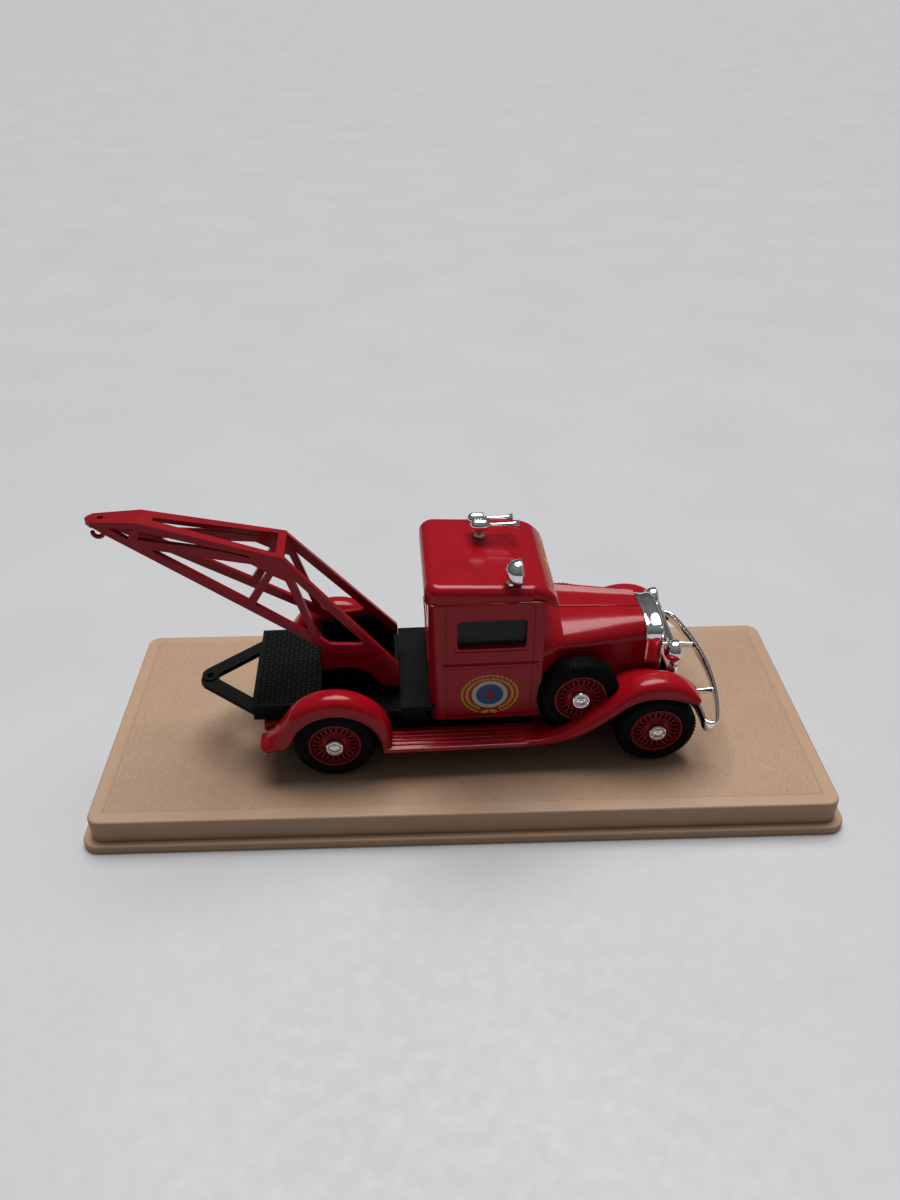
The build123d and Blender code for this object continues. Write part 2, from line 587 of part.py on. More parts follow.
def bench_seat():
    """Bench seat: cushion and back rest."""
    cushion = block(22.2, 30.0, -9.0, 9.0, 11.25, 17.0)
    back = block(21.0, 24.2, -9.0, 9.0, 11.25, 25.0)
    seat_body = cushion + back
    edges = seat_body.edges().filter_by(Axis.Y)
    return fillet(edges.group_by(Axis.Z)[-1], 1.1)


def dashboard():
    dash = block(35.6, 38.6, -9.2, 9.2, 20.6, 25.6)
    dash = fillet(dash.edges().filter_by(Axis.Y).group_by(Axis.X)[0], 0.9)
    return dash - steering_tilt() * Pos(0, 0, -3) * Cylinder(0.3 + GAP, 4)


def steering_tilt():
    return Pos(33.4, 5.0, 24.6) * Rot(0, -55, 0)


def steering_wheel():
    """Steering wheel and column on the truck's left."""
    ring = Torus(2.6, 0.28)
    hub = Cylinder(0.6, 0.7)
    spokes = Box(5.2, 0.35, 0.3) + Box(0.35, 5.2, 0.3)
    column = Pos(0, 0, -1.75) * Cylinder(0.3, 3.0)
    return steering_tilt() * (ring + hub + spokes + column)


# ---------------------------------------------------------------- bright parts
def radiator_shell():
    """Chromed surround over the radiator: top and both upper sides."""
    outer = bonnet_section(HOOD_FRONT_X + GAP, 7.15, 22.4, 25.9, 17.0)
    shell = extrude(outer, amount=RADIATOR_FRONT_X - HOOD_FRONT_X + 0.2)
    shell -= block(HOOD_FRONT_X - 1, 70, -6.35, 6.35, 16, 22.3)
    shell -= block(HOOD_FRONT_X - 1, RADIATOR_FRONT_X - 0.45, -6.35, 6.35, 16, 24.45)
    return shell


def radiator_grille():
    """Upright grille bars in a thin frame."""
    x0, x1 = RADIATOR_FRONT_X - 0.45, RADIATOR_FRONT_X + 0.15
    grille = block(x0, x0 + 0.25, -6.3, 6.3, 17.05, 22.25)
    for i in range(13):
        y = -6.0 + i
        grille += block(x0, x1, y - 0.15, y + 0.15, 17.05, 22.25)
    return grille


def headlight(side):
    """Bullet head lamp on its post."""
    shell = Pos(HEADLIGHT_X, side * HEADLIGHT_Y, HEADLIGHT_Z) * Rot(0, 90, 0) * (
        Sphere(HEADLIGHT_R) & Pos(0, 0, -HEADLIGHT_R) * Box(6, 6, 2 * HEADLIGHT_R))
    rim_ring = cylinder_x(HEADLIGHT_X - 0.05, HEADLIGHT_X + 0.75, side * HEADLIGHT_Y, HEADLIGHT_Z, HEADLIGHT_R + 0.1)
    shell += rim_ring
    shell -= cylinder_x(HEADLIGHT_X + 0.25, HEADLIGHT_X + 2, side * HEADLIGHT_Y, HEADLIGHT_Z, HEADLIGHT_R - 0.3)
    post = cylinder_z(HEADLIGHT_X + 0.1, side * HEADLIGHT_Y, 16.6, HEADLIGHT_Z - 1.8, 0.45)
    knob = cylinder_z(HEADLIGHT_X + 0.1, side * HEADLIGHT_Y, 18.0, 18.7, 0.7)
    foot = cylinder_z(HEADLIGHT_X + 0.1, side * HEADLIGHT_Y, 15.9, 17.5, 0.9)
    return shell + post + knob + foot


def headlight_lenses():
    group = []
    for side in (-1, 1):
        lens = lens_x(HEADLIGHT_X + 0.27, side * HEADLIGHT_Y, HEADLIGHT_Z, HEADLIGHT_R - 0.37, 0.4, 0.8)
        group.append(lens)
    return Compound(children=group)


def headlight_bar():
    reach = HEADLIGHT_Y - HEADLIGHT_R - 0.13
    return cylinder_y(HEADLIGHT_X + 0.3, -reach, reach, HEADLIGHT_Z, 0.5)


def front_bumper():
    """Bowed bumper bar whose ends turn back, on two arms from the frame."""
    centre_x, end_x, end_y = 77.1, 74.6, 16.6
    bar = ThreePointArc((end_x, end_y), (centre_x, 0), (end_x, -end_y))
    curl = ThreePointArc((end_x, end_y), (73.1, 19.1), (71.7, 18.0))
    back = Spline((71.7, 18.0), (71.8, 13.0), (70.2, 8.4), tangents=((0.1, -1.0), (-1.0, -0.9)))
    half = curl + back
    strip = trace(bar, BUMPER_T) + trace(half, BUMPER_T)
    strip += mirror(trace(half, BUMPER_T), about=Plane.XZ)
    arm = Spline((68.2, 7.9), (72.0, 8.0), (76.3, 7.6), tangents=((1.0, 0.0), (1.0, -0.25)))
    arms = trace(arm, 0.9) + mirror(trace(arm, 0.9), about=Plane.XZ)
    low, high = BUMPER_Z
    return extrude(Pos(0, 0, low) * strip, amount=high - low) + extrude(Pos(0, 0, low + 0.5) * arms, amount=1.4)


def air_horn(x_back, x_bell, y):
    """Horn: rounded canister with a slim trumpet and a flared bell."""
    section = Polyline(
        (0, 0), (0.5, 0.07), (0.9, 0.32), (1.15, 0.7), (1.25, 1.2), (1.25, 3.0), (1.05, 3.3), (0.55, 3.5), (0.4, 4.6),
        (0.5, x_bell - x_back - 1.2), (0.95, x_bell - x_back), (0, x_bell - x_back), close=True,
    )
    body = revolve(make_face(section), axis=Axis.Y)
    return Pos(x_back, y, HORN_Z) * Rot(0, 0, -90) * body


def horn_bracket():
    """Post between the two horns with a cradle that both canisters lie in."""
    x = 29.4
    y = sum(HORN_YS) / 2
    base_z = roof_top(x - 1.0) + GAP
    foot = cylinder_z(x, y, base_z, base_z + 0.4, 1.0)
    post = cylinder_z(x, y, base_z + 0.3, HORN_Z - 0.9, 0.55)
    cradle = block(x - 0.5, x + 0.5, HORN_YS[0], HORN_YS[1], HORN_Z - 1.6, HORN_Z - 0.6)
    bracket = foot + post + cradle
    for horn_y in HORN_YS:
        bracket -= cylinder_x(x - 2, x + 2, horn_y, HORN_Z, 1.27)
    return bracket


def roof_spotlight():
    """Dome-backed spot lamp standing on a short foot on the roof."""
    bowl = Pos(SPOT_X, SPOT_Y, SPOT_Z) * Rot(0, 90, 0) * (
        Sphere(SPOT_R) & Pos(0, 0, -SPOT_R) * Box(8, 8, 2 * SPOT_R))
    bowl += cylinder_x(SPOT_X - 0.05, SPOT_X + 0.8, SPOT_Y, SPOT_Z, SPOT_R + 0.08)
    bowl -= cylinder_x(SPOT_X + 0.25, SPOT_X + 2, SPOT_Y, SPOT_Z, SPOT_R - 0.35)
    foot_x = SPOT_X - 1.2
    foot_z = roof_top(foot_x - 1.0) + GAP
    return bowl + cylinder_z(foot_x, SPOT_Y + 0.3, foot_z, SPOT_Z - SPOT_R + 0.9, 0.9)


def spotlight_lens():
    return lens_x(SPOT_X + 0.27, SPOT_Y, SPOT_Z, SPOT_R - 0.42, 0.4, 0.8)


# ---------------------------------------------------------------- assembly
def build():
    parts["display_plinth"] = display_plinth()
    truck = {
        "plinth_screws": plinth_screws(),
        "base_plate": base_plate(),
        "base_rivets": base_rivets(),
        "wing_casting": wing_casting(),
        "bed_frame": bed_frame(),
        "tow_frame": tow_frame(),
        "crane_side_left": crane_side(),
        "crane_side_right": mirror(crane_side(), about=Plane.XZ),
        "crane_top_plate": crane_top_plate(),
        "crane_hook": crane_hook(),
        "cab_casting": cab_casting(),
        "cab_glazing": cab_glazing(),
        "interior_tub": interior_tub(),
        "bench_seat": bench_seat(),
        "dashboard": dashboard(),
        "steering_wheel": steering_wheel(),
        "radiator_shell": radiator_shell(),
        "radiator_grille": radiator_grille(),
        "headlight_left": headlight(1),
        "headlight_right": headlight(-1),
        "headlight_lenses": headlight_lenses(),
        "headlight_bar": headlight_bar(),
        "front_bumper": front_bumper(),
        "air_horn_long": air_horn(27.5, 36.9, HORN_YS[0]),
        "air_horn_short": air_horn(27.1, 35.9, HORN_YS[1]),
        "horn_bracket": horn_bracket(),
        "roof_spotlight": roof_spotlight(),
        "spotlight_lens": spotlight_lens(),
        "front_axle": axle(WHEELBASE),
        "rear_axle": axle(0.0),
    }
    pieces = {"rim": rim, "tyre": tyre, "hubcap": hubcap}
    for name, piece in pieces.items():
        for label, side in (("left", 1), ("right", -1)):
            truck[f"front_{name}_{label}"] = road_wheel(piece, WHEELBASE, side)
            truck[f"rear_{name}_{label}"] = road_wheel(piece, 0.0, side)
            truck[f"spare_{name}_{label}"] = spare_wheel(piece, side)
    for name, shape in truck.items():
        parts[name] = seat(shape)


def write():
    os.makedirs("parts", exist_ok=True)
    for name, shape in parts.items():
        export_step(shape, f"parts/{name}.step")


build()
write()
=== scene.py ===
import math

import bmesh
import bpy
from mathutils import Matrix, Vector
from mathutils.bvhtree import BVHTree


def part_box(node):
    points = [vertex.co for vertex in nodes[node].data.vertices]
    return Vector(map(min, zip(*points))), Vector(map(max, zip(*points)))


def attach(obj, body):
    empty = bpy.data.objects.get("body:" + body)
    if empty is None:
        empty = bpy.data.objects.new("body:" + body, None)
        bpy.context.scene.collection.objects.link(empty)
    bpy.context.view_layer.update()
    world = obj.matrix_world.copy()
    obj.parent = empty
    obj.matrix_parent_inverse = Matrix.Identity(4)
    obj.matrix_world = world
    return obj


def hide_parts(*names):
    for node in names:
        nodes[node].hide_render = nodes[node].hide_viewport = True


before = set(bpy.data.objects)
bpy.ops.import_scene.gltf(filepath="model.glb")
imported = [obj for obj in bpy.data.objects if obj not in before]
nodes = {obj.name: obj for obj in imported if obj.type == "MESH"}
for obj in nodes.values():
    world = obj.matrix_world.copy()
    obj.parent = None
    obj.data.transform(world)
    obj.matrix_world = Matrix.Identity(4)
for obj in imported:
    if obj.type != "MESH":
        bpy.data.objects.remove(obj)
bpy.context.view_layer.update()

# Toy tow truck on its display plinth.  The functions below work in millimetres in the truck's own
# axes: x = 0 at the rear axle, y = 0 on the centreline, z = 0 on the plinth's top.

TRUCK = "truck_on_plinth"
FRONT = "front_axle_set"
REAR = "rear_axle_set"
SIDES = (("left", 1), ("right", -1))


def middle(node):
    """Centre of a node's box, in metres."""
    low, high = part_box(node)
    return (Vector(low) + Vector(high)) / 2


ORIGIN = Vector((middle("rear_axle").x, 0.0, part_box("display_plinth")[1][2]))
WHEELBASE = (middle("front_axle").x - ORIGIN.x) * 1000
AXLE_Z = (middle("rear_axle").z - ORIGIN.z) * 1000
TYRE_OUTER_Y = 17.7
RIM_R = 5.1
TYRE_WIDTH = 4.3
SPARE_X = 47.5
SPARE_Y = 14.9
SPARE_Z = 14.9
SPARE_LEAN = math.radians(3.0)
PLINTH_TURN = math.radians(-1.9)
PLINTH_HALF_X = 71.5
PLINTH_HALF_Y = 29.15
WING_Y = 18.3
WING_INNER_Y = 12.7
DECK_Z = 14.4
CAB_Y = 13.2
BONNET_REAR_X = 44.6
BONNET_REAR_Y = 9.9
BONNET_TAPER = 0.1687
ROUNDEL_X = 30.1
ROUNDEL_Z = 15.6
HEADLIGHT_X = 66.6
HEADLIGHT_Y = 9.2
HEADLIGHT_Z = 21.2
HEADLIGHT_R = 2.2
SPOT_X = 34.8
SPOT_Y = -11.5
SPOT_Z = 42.2
SPOT_R = 2.4
HORN_YS = {"air_horn_long": 3.9, "air_horn_short": 6.46}
HORN_Z = 43.2
BUMPER_FRONT_X = 77.1
BUMPER_Z = 9.6

# The cab's surface, for laying the printed stripe on the visor.
cab_mesh = nodes["cab_casting"].data
cab_frame = nodes["cab_casting"].matrix_world
CAB_SKIN = BVHTree.FromPolygons([cab_frame @ v.co for v in cab_mesh.vertices],
                                [list(f.vertices) for f in cab_mesh.polygons])


# ---------------------------------------------------------------- mesh helpers
class Shape:
    """Vertices and faces in truck millimetres, gathered from several simple forms."""

    def __init__(self):
        self.points = []
        self.faces = []
        self.slots = []

    def add(self, form, slot=0, matrix=None):
        points, faces = form
        start = len(self.points)
        for p in points:
            self.points.append(matrix @ Vector(p) if matrix else Vector(p))
        for face in faces:
            self.faces.append([start + i for i in face])
            self.slots.append(slot)
        return self

    def mirrored(self):
        """The same shape on the other side of the truck, added to this one."""
        start = len(self.points)
        self.points += [Vector((p.x, -p.y, p.z)) for p in self.points[:start]]
        self.slots += list(self.slots)
        self.faces += [[start + i for i in reversed(face)] for face in self.faces]
        return self


def make_piece(name, shape, materials, body=TRUCK, stands_for=(), sharp=35, place=None):
    """Turn a Shape into a shaded object that rides on a CAD body."""
    mesh = bpy.data.meshes.new(name)
    points = [place @ p if place else p for p in shape.points]
    mesh.from_pydata([ORIGIN + p / 1000 for p in points], [], shape.faces)
    for polygon, index in zip(mesh.polygons, shape.slots):
        polygon.material_index = index
    for material in materials:
        mesh.materials.append(material)
    bm = bmesh.new()
    bm.from_mesh(mesh)
    bmesh.ops.remove_doubles(bm, verts=bm.verts, dist=2e-6)
    bmesh.ops.dissolve_degenerate(bm, edges=bm.edges, dist=1e-6)
    bmesh.ops.recalc_face_normals(bm, faces=bm.faces)
    bm.to_mesh(mesh)
    bm.free()
    mesh.shade_smooth()
    mesh.set_sharp_from_angle(angle=math.radians(sharp))
    piece = bpy.data.objects.new(name, mesh)
    bpy.context.scene.collection.objects.link(piece)
    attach(piece, body)
    if stands_for:
        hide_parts(*stands_for)
    return piece


def grid(rows, close_rows=False, close_columns=False, cap_ends=False):
    """Quads between equally long rows of points."""
    points = [p for row in rows for p in row]
    width = len(rows[0])
    height = len(rows)
    faces = []
    for i in range(height if close_rows else height - 1):
        for j in range(width if close_columns else width - 1):
            a = i * width + j
            b = i * width + (j + 1) % width
            c = ((i + 1) % height) * width + (j + 1) % width
            d = ((i + 1) % height) * width + j
            faces.append([a, b, c, d])
    if cap_ends:
        faces.append(list(range(width))[::-1])
        faces.append([(height - 1) * width + j for j in range(width)])
    return points, faces


def lathe(profile, segments=48):
    """Revolve (radius, y) points about the Y axis."""
    rows = []
    for i in range(segments):
        turn = 2 * math.pi * i / segments
        rows.append([(r * math.cos(turn), y, r * math.sin(turn)) for r, y in profile])
    return grid(rows, close_rows=True)


def tube(path, radius, segments=12, squash=1.0):
    """Round bar along a path; radius may be one number or one per point."""
    path = [Vector(p) for p in path]
    radii = radius if isinstance(radius, (list, tuple)) else [radius] * len(path)
    rows = []
    for i, point in enumerate(path):
        ahead = path[min(i + 1, len(path) - 1)] - path[max(i - 1, 0)]
        ahead.normalize()
        side = ahead.cross(Vector((0, 0, 1)))
        if side.length < 1e-3:
            side = Vector((0, 1, 0))
        side.normalize()
        up = side.cross(ahead)
        ring = []
        for j in range(segments):
            turn = 2 * math.pi * j / segments
            ring.append(point + radii[i] * (math.cos(turn) * side + squash * math.sin(turn) * up))
        rows.append(ring)
    return grid(rows, close_columns=True, cap_ends=True)


def capsule(start, end, radius, segments=10, squash=1.0):
    """Round bar with domed ends."""
    start, end = Vector(start), Vector(end)
    ahead = (end - start).normalized()
    reach = (0.0, 0.12, 0.45, 1.0)
    swell = [radius * k for k in (0.12, 0.5, 0.85, 1.0)]
    path = [start + ahead * radius * k for k in reach]
    back = [end - ahead * radius * k for k in reversed(reach)]
    return tube(path + back, swell + swell[::-1], segments, squash)


def rounded_box(low, high, radius, segments=2):
    """Box with rounded edges."""
    bm = bmesh.new()
    bmesh.ops.create_cube(bm, size=1.0)
    low, high = Vector(low), Vector(high)
    size = high - low
    for v in bm.verts:
        v.co = Vector((v.co.x * size.x, v.co.y * size.y, v.co.z * size.z)) + (low + high) / 2
    bmesh.ops.bevel(bm, geom=bm.edges, offset=radius, segments=segments, affect="EDGES", profile=0.5)
    bm.verts.ensure_lookup_table()
    points = [v.co.copy() for v in bm.verts]
    faces = [[v.index for v in f.verts] for f in bm.faces]
    bm.free()
    return points, faces


def smooth_curve(points, count):
    """Points spread evenly along a Catmull-Rom curve through the given points."""
    pts = [Vector(p) for p in points]
    pts = [2 * pts[0] - pts[1]] + pts + [2 * pts[-1] - pts[-2]]
    fine = []
    for i in range(1, len(pts) - 2):
        for k in range(24):
            t = k / 24
            a, b, c, d = pts[i - 1], pts[i], pts[i + 1], pts[i + 2]
            fine.append(0.5 * (2 * b + (c - a) * t + (2 * a - 5 * b + 4 * c - d) * t * t
                               + (3 * b - a - 3 * c + d) * t ** 3))
    fine.append(pts[-2])
    lengths = [0.0]
    for p, q in zip(fine, fine[1:]):
        lengths.append(lengths[-1] + (q - p).length)
    result, j = [], 0
    for i in range(count):
        want = lengths[-1] * i / (count - 1)
        while j < len(lengths) - 2 and lengths[j + 1] < want:
            j += 1
        span = lengths[j + 1] - lengths[j]
        share = (want - lengths[j]) / span if span else 0
        result.append(fine[j].lerp(fine[j + 1], min(1.0, share)))
    return result


def arc(centre_x, centre_z, radius, degrees):
    """Points on a circle at the given angles."""
    turns = [math.radians(a) for a in degrees]
    return [(centre_x + radius * math.cos(t), centre_z + radius * math.sin(t)) for t in turns]


def blend_step(value, low, high):
    """Smooth rise from 0 at low to 1 at high."""
    t = min(1.0, max(0.0, (value - low) / (high - low)))
    return t * t * (3 - 2 * t)


# ---------------------------------------------------------------- materials
def new_material(name):
    """Material with only a Principled shader and its output."""
    material = bpy.data.materials.new(name)
    material.use_nodes = True
    tree = material.node_tree
    tree.nodes.clear()
    output = tree.nodes.new("ShaderNodeOutputMaterial")
    shader = tree.nodes.new("ShaderNodeBsdfPrincipled")
    tree.links.new(shader.outputs[0], output.inputs[0])
    return material, tree, shader


def position(tree, turn=0.0):
    """Object coordinates in metres, turned about Z if asked."""
    where = tree.nodes.new("ShaderNodeTexCoord")
    mapping = tree.nodes.new("ShaderNodeMapping")
    mapping.inputs["Rotation"].default_value[2] = turn
    tree.links.new(where.outputs["Object"], mapping.inputs["Vector"])
    return mapping.outputs[0]


def noise(tree, where, feature_mm, detail=3.0, roughness=0.55):
    """Noise whose features are about feature_mm across."""
    node = tree.nodes.new("ShaderNodeTexNoise")
    node.inputs["Scale"].default_value = 1000.0 / feature_mm
    node.inputs["Detail"].default_value = detail
    node.inputs["Roughness"].default_value = roughness
    tree.links.new(where, node.inputs["Vector"])
    return node.outputs["Fac"]


def remap(tree, value, low, high, from_low=0.3, from_high=0.7):
    """Stretch the range from_low..from_high to low..high."""
    node = tree.nodes.new("ShaderNodeMapRange")
    node.inputs["From Min"].default_value = from_low
    node.inputs["From Max"].default_value = from_high
    node.inputs["To Min"].default_value = low
    node.inputs["To Max"].default_value = high
    tree.links.new(value, node.inputs["Value"])
    return node.outputs[0]


def calculate(tree, operation, *terms):
    """Math node whose terms are numbers or sockets."""
    node = tree.nodes.new("ShaderNodeMath")
    node.operation = operation
    for socket, term in zip(node.inputs, terms):
        if isinstance(term, (int, float)):
            socket.default_value = term
        else:
            tree.links.new(term, socket)
    return node.outputs[0]


def mix_colour(tree, factor, first, second):
    """Blend of two colours, each a tuple or a socket."""
    node = tree.nodes.new("ShaderNodeMix")
    node.data_type = "RGBA"
    tree.links.new(factor, node.inputs["Factor"])
    for socket, colour in ((node.inputs[6], first), (node.inputs[7], second)):
        if isinstance(colour, tuple):
            socket.default_value = (*colour, 1.0)
        else:
            tree.links.new(colour, socket)
    return node.outputs[2]


def bump(tree, shader, height, depth_mm, previous=None):
    """Relief depth_mm deep, laid over the previous relief if there is one."""
    node = tree.nodes.new("ShaderNodeBump")
    node.inputs["Strength"].default_value = 1.0
    node.inputs["Distance"].default_value = depth_mm / 1000
    tree.links.new(height, node.inputs["Height"])
    if previous:
        tree.links.new(previous, node.inputs["Normal"])
    tree.links.new(node.outputs[0], shader.inputs["Normal"])
    return node.outputs[0]


def gloss_material(name, colour, deep, roughness, coat=0.6, peel_mm=0.004):
    """Sprayed or moulded glossy colour with slight orange peel, handling marks and dust."""
    material, tree, shader = new_material(name)
    where = position(tree)
    broad = remap(tree, noise(tree, where, 9.0, 2.0), 0.0, 1.0)
    specks = remap(tree, noise(tree, where, 0.35, 4.0), 0.0, 1.0, 0.62, 0.8)
    base = mix_colour(tree, broad, colour, deep)
    dusty = tuple(min(1.0, c * 0.75 + 0.05) for c in colour)
    dust = remap(tree, specks, 0.0, 0.06, 0.0, 1.0)
    tree.links.new(mix_colour(tree, dust, base, dusty), shader.inputs["Base Color"])
    smudges = noise(tree, where, 2.6, 5.0)
    tree.links.new(remap(tree, smudges, roughness * 0.9, roughness * 1.15), shader.inputs["Roughness"])
    bump(tree, shader, noise(tree, where, 0.8, 2.0), peel_mm)
    shader.inputs["Coat Weight"].default_value = coat
    shader.inputs["Coat Roughness"].default_value = 0.03
    shader.inputs["Specular IOR Level"].default_value = 0.25
    return material


def matte_material(name, colour, deep, roughness, grain_mm, depth_mm, shine=0.5):
    """Moulded plastic or painted metal with a fine even grain."""
    material, tree, shader = new_material(name)
    where = position(tree)
    cloud = remap(tree, noise(tree, where, 6.0, 4.0), 0.0, 1.0)
    tree.links.new(mix_colour(tree, cloud, colour, deep), shader.inputs["Base Color"])
    wear = remap(tree, noise(tree, where, 1.8, 5.0), roughness * 0.85, min(1.0, roughness * 1.2))
    tree.links.new(wear, shader.inputs["Roughness"])
    bump(tree, shader, noise(tree, where, grain_mm, 3.0), depth_mm)
    shader.inputs["Specular IOR Level"].default_value = shine
    return material


def bright_material(name, colour, roughness):
    """Vacuum-plated chrome: mirror-like, with faint ripples and a few dull spots."""
    material, tree, shader = new_material(name)
    where = position(tree)
    shader.inputs["Metallic"].default_value = 1.0
    dull = tuple(c * 0.82 for c in colour)
    spots = remap(tree, noise(tree, where, 1.5, 4.0), 0.0, 1.0, 0.45, 0.75)
    tree.links.new(mix_colour(tree, spots, colour, dull), shader.inputs["Base Color"])
    wear = remap(tree, noise(tree, where, 0.9, 4.0), roughness * 0.6, roughness * 1.9)
    tree.links.new(wear, shader.inputs["Roughness"])
    bump(tree, shader, noise(tree, where, 0.7, 2.0), 0.006)
    return material


def plinth_material():
    """Tan plastic with a leather grain on top, painted shade in the grain's pits, and a smooth border strip.
    """
    material, tree, shader = new_material("plinth_tan")
    where = position(tree, -PLINTH_TURN)
    split = tree.nodes.new("ShaderNodeSeparateXYZ")
    tree.links.new(where, split.inputs[0])
    margins = []
    for axis, half in enumerate((PLINTH_HALF_X, PLINTH_HALF_Y)):
        from_centre = calculate(tree, "ABSOLUTE", split.outputs[axis])
        margins.append(calculate(tree, "SUBTRACT", half / 1000, from_centre))
    edge = calculate(tree, "MINIMUM", *margins)
    field = remap(tree, edge, 0.0, 1.0, 0.0027, 0.0030)
    rise = remap(tree, edge, 0.0, 1.0, 0.00235, 0.0025)
    fall = remap(tree, edge, 1.0, 0.0, 0.0026, 0.00275)
    line = calculate(tree, "MULTIPLY", rise, fall)
    cells = tree.nodes.new("ShaderNodeTexVoronoi")
    cells.inputs["Scale"].default_value = 1000 / 0.55
    cells.feature = "SMOOTH_F1"
    cells.inputs["Smoothness"].default_value = 0.6
    tree.links.new(where, cells.inputs["Vector"])
    creases = remap(tree, cells.outputs["Distance"], 1.0, 0.0, 0.0, 0.75)
    grain = calculate(tree, "MULTIPLY_ADD", creases, 0.6, noise(tree, where, 0.5, 4.0))
    grain_in_field = calculate(tree, "MULTIPLY", grain, field)
    tan, warm, shade = (0.43, 0.288, 0.192), (0.46, 0.316, 0.216), (0.27, 0.175, 0.115)
    cloud = remap(tree, noise(tree, where, 14.0, 5.0), 0.0, 1.0)
    base = mix_colour(tree, cloud, tan, warm)
    # Painted shade: the grain's low pits are darkened towards the shade colour.
    grain_pit_shade = remap(tree, grain, 0.22, 0.0, 0.35, 0.75)
    grain_pit_shade_in_field = calculate(tree, "MULTIPLY", grain_pit_shade, field)
    tree.links.new(mix_colour(tree, grain_pit_shade_in_field, base, shade), shader.inputs["Base Color"])
    wear = remap(tree, noise(tree, where, 3.0, 4.0), 0.42, 0.58)
    tree.links.new(wear, shader.inputs["Roughness"])
    shader.inputs["Specular IOR Level"].default_value = 0.4
    first = bump(tree, shader, grain_in_field, 0.17)
    second = bump(tree, shader, line, 0.04, previous=first)
    bump(tree, shader, noise(tree, where, 0.25, 2.0), 0.006, previous=second)
    return material


def clear_material(name, tint, roughness, ior):
    """Thin clear moulding with faint haze."""
    material, tree, shader = new_material(name)
    where = position(tree)
    faded = tuple(c * 0.93 for c in tint)
    cloud = remap(tree, noise(tree, where, 4.0, 3.0), 0.0, 1.0)
    tree.links.new(mix_colour(tree, cloud, tint, faded), shader.inputs["Base Color"])
    wear = remap(tree, noise(tree, where, 1.2, 4.0), roughness * 0.5, roughness * 1.6)
    tree.links.new(wear, shader.inputs["Roughness"])
    shader.inputs["Transmission Weight"].default_value = 0.92
    shader.inputs["IOR"].default_value = ior
    return material


red_paint = gloss_material("red_paint", (0.385, 0.006, 0.016), (0.325, 0.004, 0.012), 0.20, coat=0.20)
red_plastic = gloss_material("red_plastic", (0.33, 0.006, 0.015), (0.27, 0.004, 0.011), 0.28, coat=0.15)
rim_red = gloss_material("rim_red", (0.31, 0.005, 0.012), (0.23, 0.003, 0.009), 0.26, coat=0.2)
black_plastic = matte_material(
    "black_plastic", (0.006, 0.007, 0.007), (0.010, 0.011, 0.011), 0.42, 0.35, 0.010, shine=0.08)
interior_plastic = matte_material(
    "interior_plastic", (0.006, 0.006, 0.006), (0.010, 0.010, 0.010), 0.5, 0.3, 0.01, shine=0.25)
base_metal = matte_material(
    "base_metal", (0.004, 0.004, 0.005), (0.008, 0.008, 0.009), 0.4, 0.5, 0.008, shine=0.3)
tyre_rubber = matte_material(
    "tyre_rubber", (0.0020, 0.0020, 0.0022), (0.0045, 0.0045, 0.0048), 0.60, 0.22, 0.012, shine=0.12)
rim_shadow = matte_material(
    "rim_shadow", (0.008, 0.001, 0.002), (0.012, 0.002, 0.003), 0.6, 0.4, 0.01, shine=0.1)
chrome = bright_material("chrome", (0.90, 0.90, 0.91), 0.05)
steel = bright_material("steel", (0.55, 0.56, 0.58), 0.3)
plinth_tan = plinth_material()
clear_pane = clear_material("clear_pane", (0.34, 0.36, 0.37), 0.02, 1.25)
lens_clear = clear_material("lens_clear", (0.93, 0.95, 0.96), 0.10, 1.47)
gold_print = matte_material("gold_print", (0.56, 0.36, 0.02), (0.46, 0.28, 0.015), 0.4, 0.3, 0.004)
white_print = matte_material("white_print", (0.50, 0.49, 0.44), (0.42, 0.41, 0.37), 0.45, 0.3, 0.004)
blue_print = matte_material("blue_print", (0.018, 0.085, 0.20), (0.014, 0.065, 0.16), 0.4, 0.3, 0.004)

NODE_LOOKS = {
    plinth_tan: ["display_plinth"],
    steel: ["plinth_screws", "base_rivets", "front_axle", "rear_axle"],
    base_metal: ["base_plate"],
    red_paint: ["wing_casting", "cab_casting"],
    black_plastic: ["bed_frame", "tow_frame"],
    red_plastic: ["crane_side_left", "crane_side_right", "crane_top_plate", "crane_hook"],
    clear_pane: ["cab_glazing"],
    interior_plastic: ["interior_tub", "bench_seat", "dashboard", "steering_wheel"],
    chrome: ["radiator_shell", "radiator_grille", "headlight_left", "headlight_right", "headlight_bar",
             "front_bumper", "air_horn_long", "air_horn_short", "horn_bracket", "roof_spotlight"],
    lens_clear: ["headlight_lenses", "spotlight_lens"],
}
for material, names in NODE_LOOKS.items():
    for name in names:
        mesh = nodes[name].data
        mesh.materials.clear()
        mesh.materials.append(material)


# ---------------------------------------------------------------- wheels
def tyre_shape():
    """Tyre with its outer side at y = 0, rounded shoulders and grooved tread."""
    half = [(RIM_R + 0.02, -0.55), (RIM_R + 0.05, -0.22), (5.45, -0.06), (5.75, -0.02), (5.85, -0.08),
            (5.95, -0.02), (6.6, 0.0), (7.1, -0.16), (7.5, -0.50), (7.75, -0.95), (7.85, -1.25)]
    tread = [(7.88, -1.4), (7.78, -1.45), (7.78, -1.6), (7.9, -1.65), (7.9, -1.95), (7.8, -2.0), (7.8, -2.15)]
    outer = half + tread
    inner = [(r, -TYRE_WIDTH - y) for r, y in reversed(outer)]
    return Shape().add(lathe(outer + inner, 72))


def tread_blocks():
    """Short cross ribs on the tyre's shoulders."""
    shape = Shape()
    count = 56
    for i in range(count):
        turn = Matrix.Rotation(2 * math.pi * i / count, 4, "Y")
        for low in (-1.35, -TYRE_WIDTH + 0.85):
            shape.add(rounded_box((7.62, low, -0.17), (7.9, low + 0.5, 0.17), 0.06, 1), matrix=turn)
    return shape


